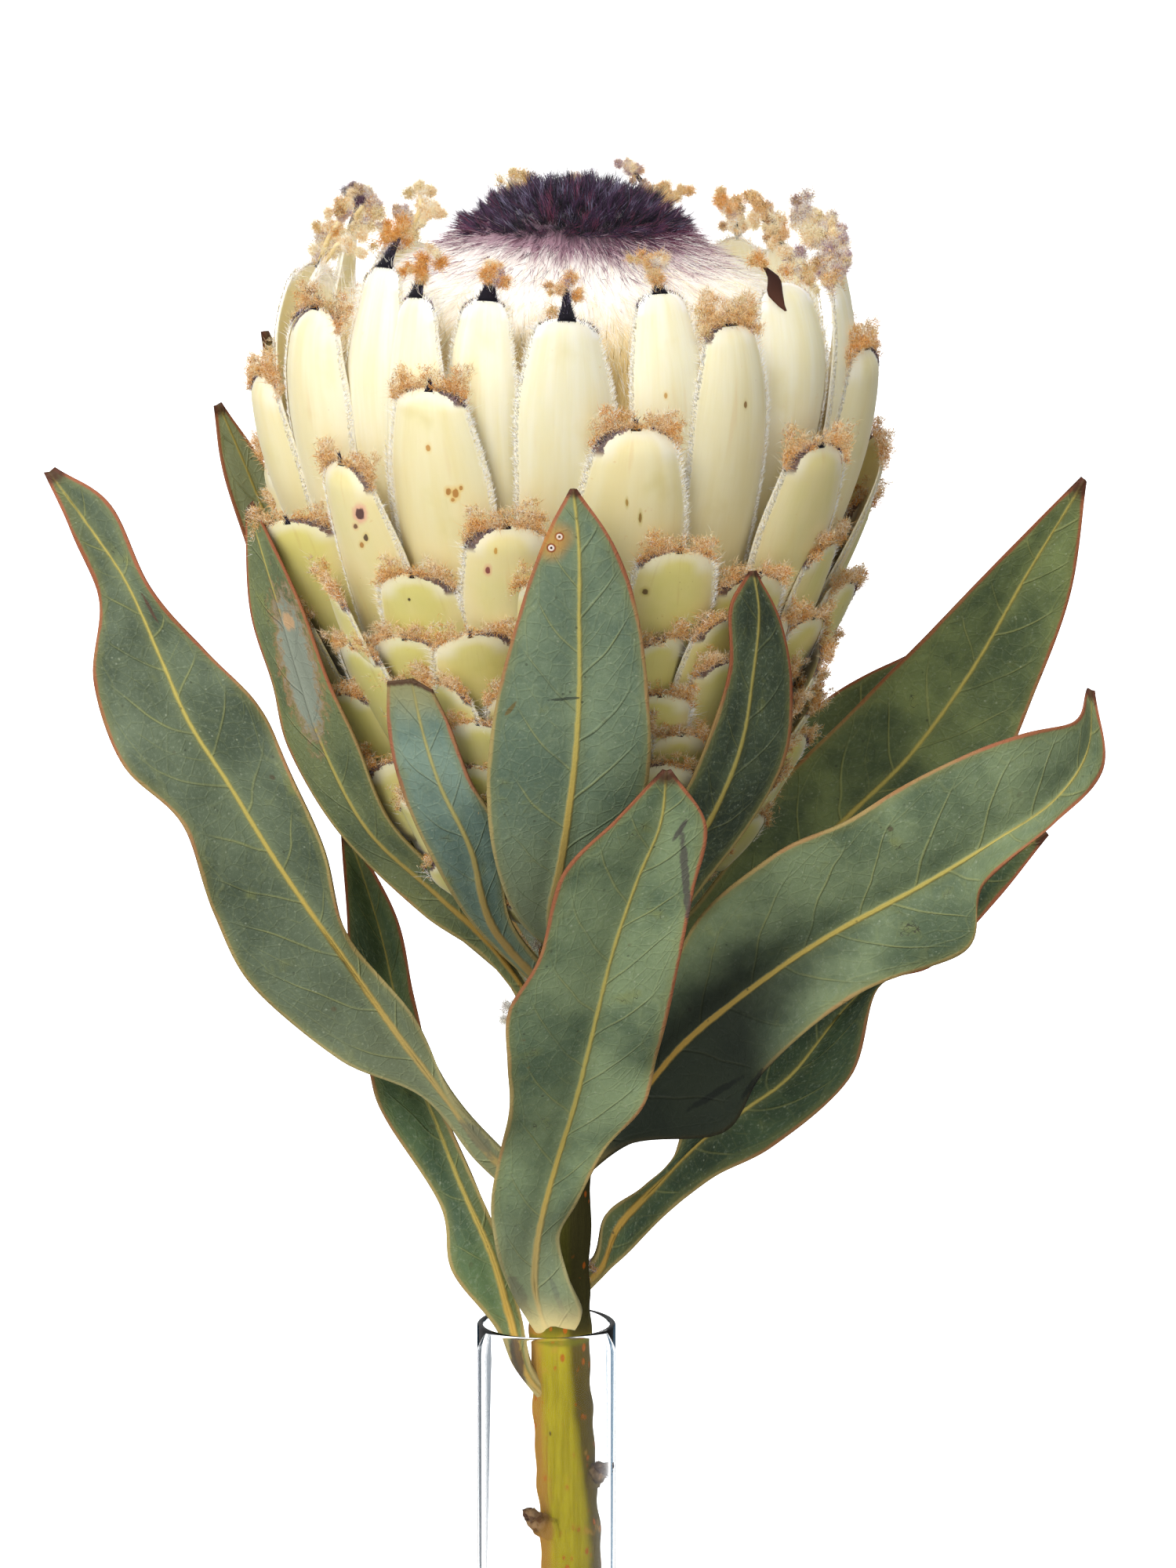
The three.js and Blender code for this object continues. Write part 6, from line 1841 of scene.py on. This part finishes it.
def stem_paint():
    paint = Paint("stem_skin")
    _, _, z = paint.marks("mark_a")
    kind, _, _ = paint.marks("mark_b")
    where = paint.place()
    x, y, _ = paint.split(where)
    streak = paint.noise(paint.vector(x * 1.4, y * 1.4, z * 0.06), 1.0, 4.0, 0.6)
    lower = paint.ramp_up(z, 128.0, 84.0) * 3.4
    shaded = paint.ramp_up(x - y * 0.35 - lower + (streak - 0.5) * 1.2, 4.9, 6.3)
    left_edge = paint.ramp_up(x + y * 0.2 - lower * 0.55 + (streak - 0.5) * 1.6, -0.8, -2.4)
    low = paint.ramp_up(z + (streak - 0.5) * 3.0, 131.0, 126.0)
    # Inside the tube the stem is yellow-olive; above the rim it is dark olive, partly its own colour and
    # partly painted shade from the leaves over it.
    paint.colour = paint.mix(low, "4c4a1e", "9c8e22")
    paint.over(paint.ramp_up(streak, 0.35, 0.7) * 0.35, paint.mix(low, "5e5a26", "b8aa2c"))
    paint.over(paint.ramp_up(streak, 0.6, 0.3) * 0.35, paint.mix(low, "383818", "7c701a"))
    front = paint.ramp_up(y, 3.2, 0.0)
    paint.over(left_edge * (0.25 + front * 0.55), "a06e34")
    paint.over(shaded * 0.9, paint.mix(low, "3e3a20", "4c3e1c"))
    # Painted reflection: a dark band across the stem's front just below the tube's rim, where the rim refracts
    # and reflects.
    rim_reflection_shade = paint.ramp_up(abs(z - 127.2), 1.5, 0.6) * paint.ramp_up(y, 1.0, -2.0)
    paint.over(rim_reflection_shade * 0.75, "6c6a1c")
    orange = paint.ramp_up(paint.noise(where, 5.0, 3.0, 0.65), 0.6, 0.72) * low
    paint.over(orange * 0.5, "b8863a")
    fleck_way = paint.vector(x, y, z * 0.6)
    patches = paint.ramp_up(paint.noise(where, 5.0), 0.48, 0.58)
    fleck = paint.ramp_up(paint.cells(fleck_way, 1.7), 0.5, 0.3) * patches
    paint.over(fleck * 0.85, "a8581e")
    patches = paint.ramp_up(paint.noise(where, 9.0), 0.52, 0.6)
    spot = paint.ramp_up(paint.cells(fleck_way, 3.7), 0.4, 0.22) * patches
    paint.over(spot * 0.8, "4a3620")
    bark = paint.mix(paint.ramp_up(paint.noise(where, 1.4, 3.0), 0.4, 0.62), "4a3022", "8e7050")
    paint.over(kind, bark)
    height = streak * 0.5 + paint.noise(where, 1.2, 3.0) * 0.25 - fleck * 0.1
    normal = paint.bump(height, 0.9)
    return paint.finish(paint.colour, 0.85, normal, Specular_IOR_Level=0.05)


def tube_marks(n, sides, z, kind):
    marks = np.zeros((n, sides, 6))
    marks[..., 0] = np.linspace(0, 2 * np.pi, sides, endpoint=False)
    marks[..., 1] = np.linspace(0, 1, n)[:, None]
    marks[..., 2] = np.asarray(z)[:, None]
    marks[..., 3] = np.asarray(kind)[:, None]
    return marks


def stem():
    shape = Shape()
    position = np.linspace(0, len(STEM) - 1, 230)
    centres = curve_through(STEM, position)
    radii = np.interp(position, np.arange(len(STEM)), STEM_RADII)
    z = centres[:, 2]
    for place in STEM_NODES:
        radii = radii + 0.32 * np.exp(-(((z - place) / 2.6) ** 2))
    radii = radii + 0.12 * np.sin(z * 0.31) + 0.08 * np.sin(z * 0.83 + 1)

    def ribs(turn, i):
        return 1 + 0.018 * np.sin(turn * 5 + z[i] * 0.03) + 0.012 * np.sin(turn * 9 - z[i] * 0.05)

    rings, sides = len(position), 40
    marks = tube_marks(rings, sides, z, np.zeros(rings))
    tube(shape, centres, radii, sides, marks, (0.0, 0.0, 0.8, 1.0), ribs)
    rings, sides = 26, 14
    for k, (path, thick) in enumerate(STUBS):
        rng = np.random.default_rng(600 + k)
        at = np.linspace(0, len(path) - 1, rings)
        line = curve_through(path, at) + rng.normal(size=(rings, 3)) * 0.05
        radius = np.interp(at, np.arange(len(path)), thick)
        bumps = rng.normal(size=(rings, sides)) * 0.09 * np.linspace(0.2, 1.8, rings)[:, None]

        def rough(turn, i, bumps=bumps):
            return 1 + bumps

        kind = smooth(at, 1.2, 3.2)
        cell = (0.82 + 0.06 * k, 0.0, 0.87 + 0.06 * k, 1.0)
        tube(shape, line, radius, sides, tube_marks(rings, sides, line[:, 2], kind), cell, rough)
    shape.piece("stem", stem_paint(), "stem", "stem")


def stem_hair():
    """The bud's white fluff and the grey wool in the leaves' axils."""
    fur = Fur(500)
    rng = fur.rng
    for centre, radius, count, shades in (
        ((-5.2, -0.6, 187.8), 2.0, 420, "wool"),
        ((-3.6, -0.6, 186.6), 1.4, 180, "wool"),
        ((8.2, 0.5, 139.5), 1.2, 140, "mauve"),
        ((0.6, -1.5, 201.0), 1.6, 160, "wool"),
    ):
        puff(fur, np.array(centre), radius, count, shades, "wool")
    n = 700
    t = rng.uniform(0, 1, n)
    start = np.stack([mix(-4.5, -1.0, t), mix(-4.6, -4.8, t), mix(202, 186, t)], -1) + fur.scatter(n, 0.5)
    direction = fur.scatter(n, 0.6) + np.array([-0.4, -0.3, 0.8])
    lengths = rng.uniform(0.6, 1.6, n)
    fur.add(start, direction, lengths, 0.08, fur.scatter(n, 0.3), fur.tones(n, wool=3, white=4, cream=1))
    fur.piece("stem_hair")


stem()
stem_hair()

# ---- the vase ----


def glass_paint():
    paint = Paint("clear_glass")
    absorb = paint.node("ShaderNodeVolumeAbsorption")
    absorb.inputs["Color"].default_value = (*rgb("b4cdd8"), 1)
    absorb.inputs["Density"].default_value = 40
    output = next(n for n in paint.tree.nodes if n.type == "OUTPUT_MATERIAL")
    paint.tree.links.new(absorb.outputs[0], output.inputs["Volume"])
    glass = {"IOR": 1.47, "Transmission_Weight": 1.0, "Specular_Tint": (0.1, 0.1, 0.1, 1.0)}
    return paint.finish((1.0, 1.0, 1.0), 0.0, None, **glass)


def vase():
    outer, inner, height = 12.5, 11.3, 130.0
    lip = (outer - inner) / 2
    foot_radius, foot_edge, foot_round = 42, 1.6, 1.5
    rim = [
        (inner + lip + lip * math.cos(a), height - lip + lip * math.sin(a))
        for a in np.linspace(0, math.pi, 11)
    ]
    foot = [
        (foot_radius - foot_round + foot_round * math.cos(a), foot_edge + foot_edge * math.sin(a))
        for a in np.linspace(-math.pi / 2, math.pi / 2, 13)
    ]
    drawn = [(30, 3.9), (21, 4.9), (16.5, 6.4), (14, 8.8), (12.9, 12), (12.52, 15.5)]
    wall = [(outer, z) for z in np.linspace(20, 125, 22)]
    inside = [(inner, z) for z in np.linspace(125, 18, 22)]
    well = [(inner, 15.5), (10.9, 13.4), (9.8, 12.2), (8, 12.0), (0.05, 12.0)]
    shape = Shape()
    lathe(shape, [(0.05, 0)] + foot + drawn + wall + rim + inside + well, 128, centre=(0, 0, 0))
    shape.piece("vase", glass_paint(), "glass", "vase")


vase()

# ---- the floor and the studio's light ----


def floor():
    mesh = bpy.data.meshes.new("floor")
    build = bmesh.new()
    bmesh.ops.create_grid(build, x_segments=2, y_segments=2, size=9.0)
    build.to_mesh(mesh)
    build.free()
    paint = Paint("floor")
    paint.shader.inputs["Emission Color"].default_value = (1, 1, 1, 1)
    paint.shader.inputs["Emission Strength"].default_value = 1.0
    paint.shader.inputs["Specular IOR Level"].default_value = 0.0
    mesh.materials.append(paint.finish((0.9, 0.9, 0.9), 1.0))
    plane = bpy.data.objects.new("floor", mesh)
    bpy.context.scene.collection.objects.link(plane)
    plane.location.z = -0.0002
    plane.visible_diffuse = False
    plane.visible_glossy = False


def softbox(name, place, size, power):
    data = bpy.data.lights.new(name, "AREA")
    data.shape = "SQUARE"
    data.size = size
    data.energy = power
    lamp = bpy.data.objects.new(name, data)
    lamp.location = place
    aim = Vector((0, 0, 0.25)) - Vector(place)
    lamp.rotation_euler = aim.to_track_quat("-Z", "Y").to_euler()
    bpy.context.scene.collection.objects.link(lamp)


def flag(side, wide, colour):
    """A dark card beside the tube, as used to give clear glass a dark edge. Only glass shows it."""
    mesh = bpy.data.meshes.new("flag")
    near, far = 0.0075 + side * 0.113, 0.0075 + side * wide
    corners = [(near, 0.16, 0.0), (far, 0.62, 0.0), (far, 0.62, 0.16), (near, 0.16, 0.16)]
    mesh.from_pydata(corners, [], [(0, 1, 2, 3)])
    paint = Paint("flag_black")
    paint.shader.inputs["Emission Color"].default_value = (*rgb(colour), 1)
    paint.shader.inputs["Emission Strength"].default_value = 1.0
    mesh.materials.append(paint.finish((0.02, 0.03, 0.04), 1.0, None, Specular_IOR_Level=0.0))
    card = bpy.data.objects.new("flag", mesh)
    bpy.context.scene.collection.objects.link(card)
    card.visible_camera = False
    card.visible_diffuse = False
    card.visible_shadow = False


# Where most of the studio's light comes from.
LIGHT_WAY = (-0.45, -0.58, 0.68)


def world_light():
    """A soft dome of light, bright towards the key lamp and dim on the far side and below."""
    world = bpy.data.worlds.new("studio")
    bpy.context.scene.world = world
    world.use_nodes = True
    tree = world.node_tree
    place = tree.nodes.new("ShaderNodeTexCoord")
    dot = tree.nodes.new("ShaderNodeVectorMath")
    dot.operation = "DOT_PRODUCT"
    dot.inputs[1].default_value = LIGHT_WAY
    level = tree.nodes.new("ShaderNodeMapRange")
    level.inputs["From Min"].default_value = -0.75
    level.inputs["From Max"].default_value = 1.0
    level.inputs["To Min"].default_value = 0.14
    level.inputs["To Max"].default_value = 1.15
    tree.links.new(place.outputs["Generated"], dot.inputs[0])
    tree.links.new(dot.outputs["Value"], level.inputs["Value"])
    background = tree.nodes["Background"]
    background.inputs["Color"].default_value = (1, 1, 1, 1)
    tree.links.new(level.outputs["Result"], background.inputs["Strength"])


def light():
    world_light()
    softbox("key", (-1.0, -1.45, 1.6), 1.1, 31)
    softbox("back", (0.5, 1.5, 1.7), 1.2, 14)
    scene = bpy.context.scene
    scene.view_settings.view_transform = "Standard"
    scene.view_settings.look = "None"


flag(-1, 0.1, "283a4a")
flag(1, 0.16, "6c8ea8")
floor()
light()
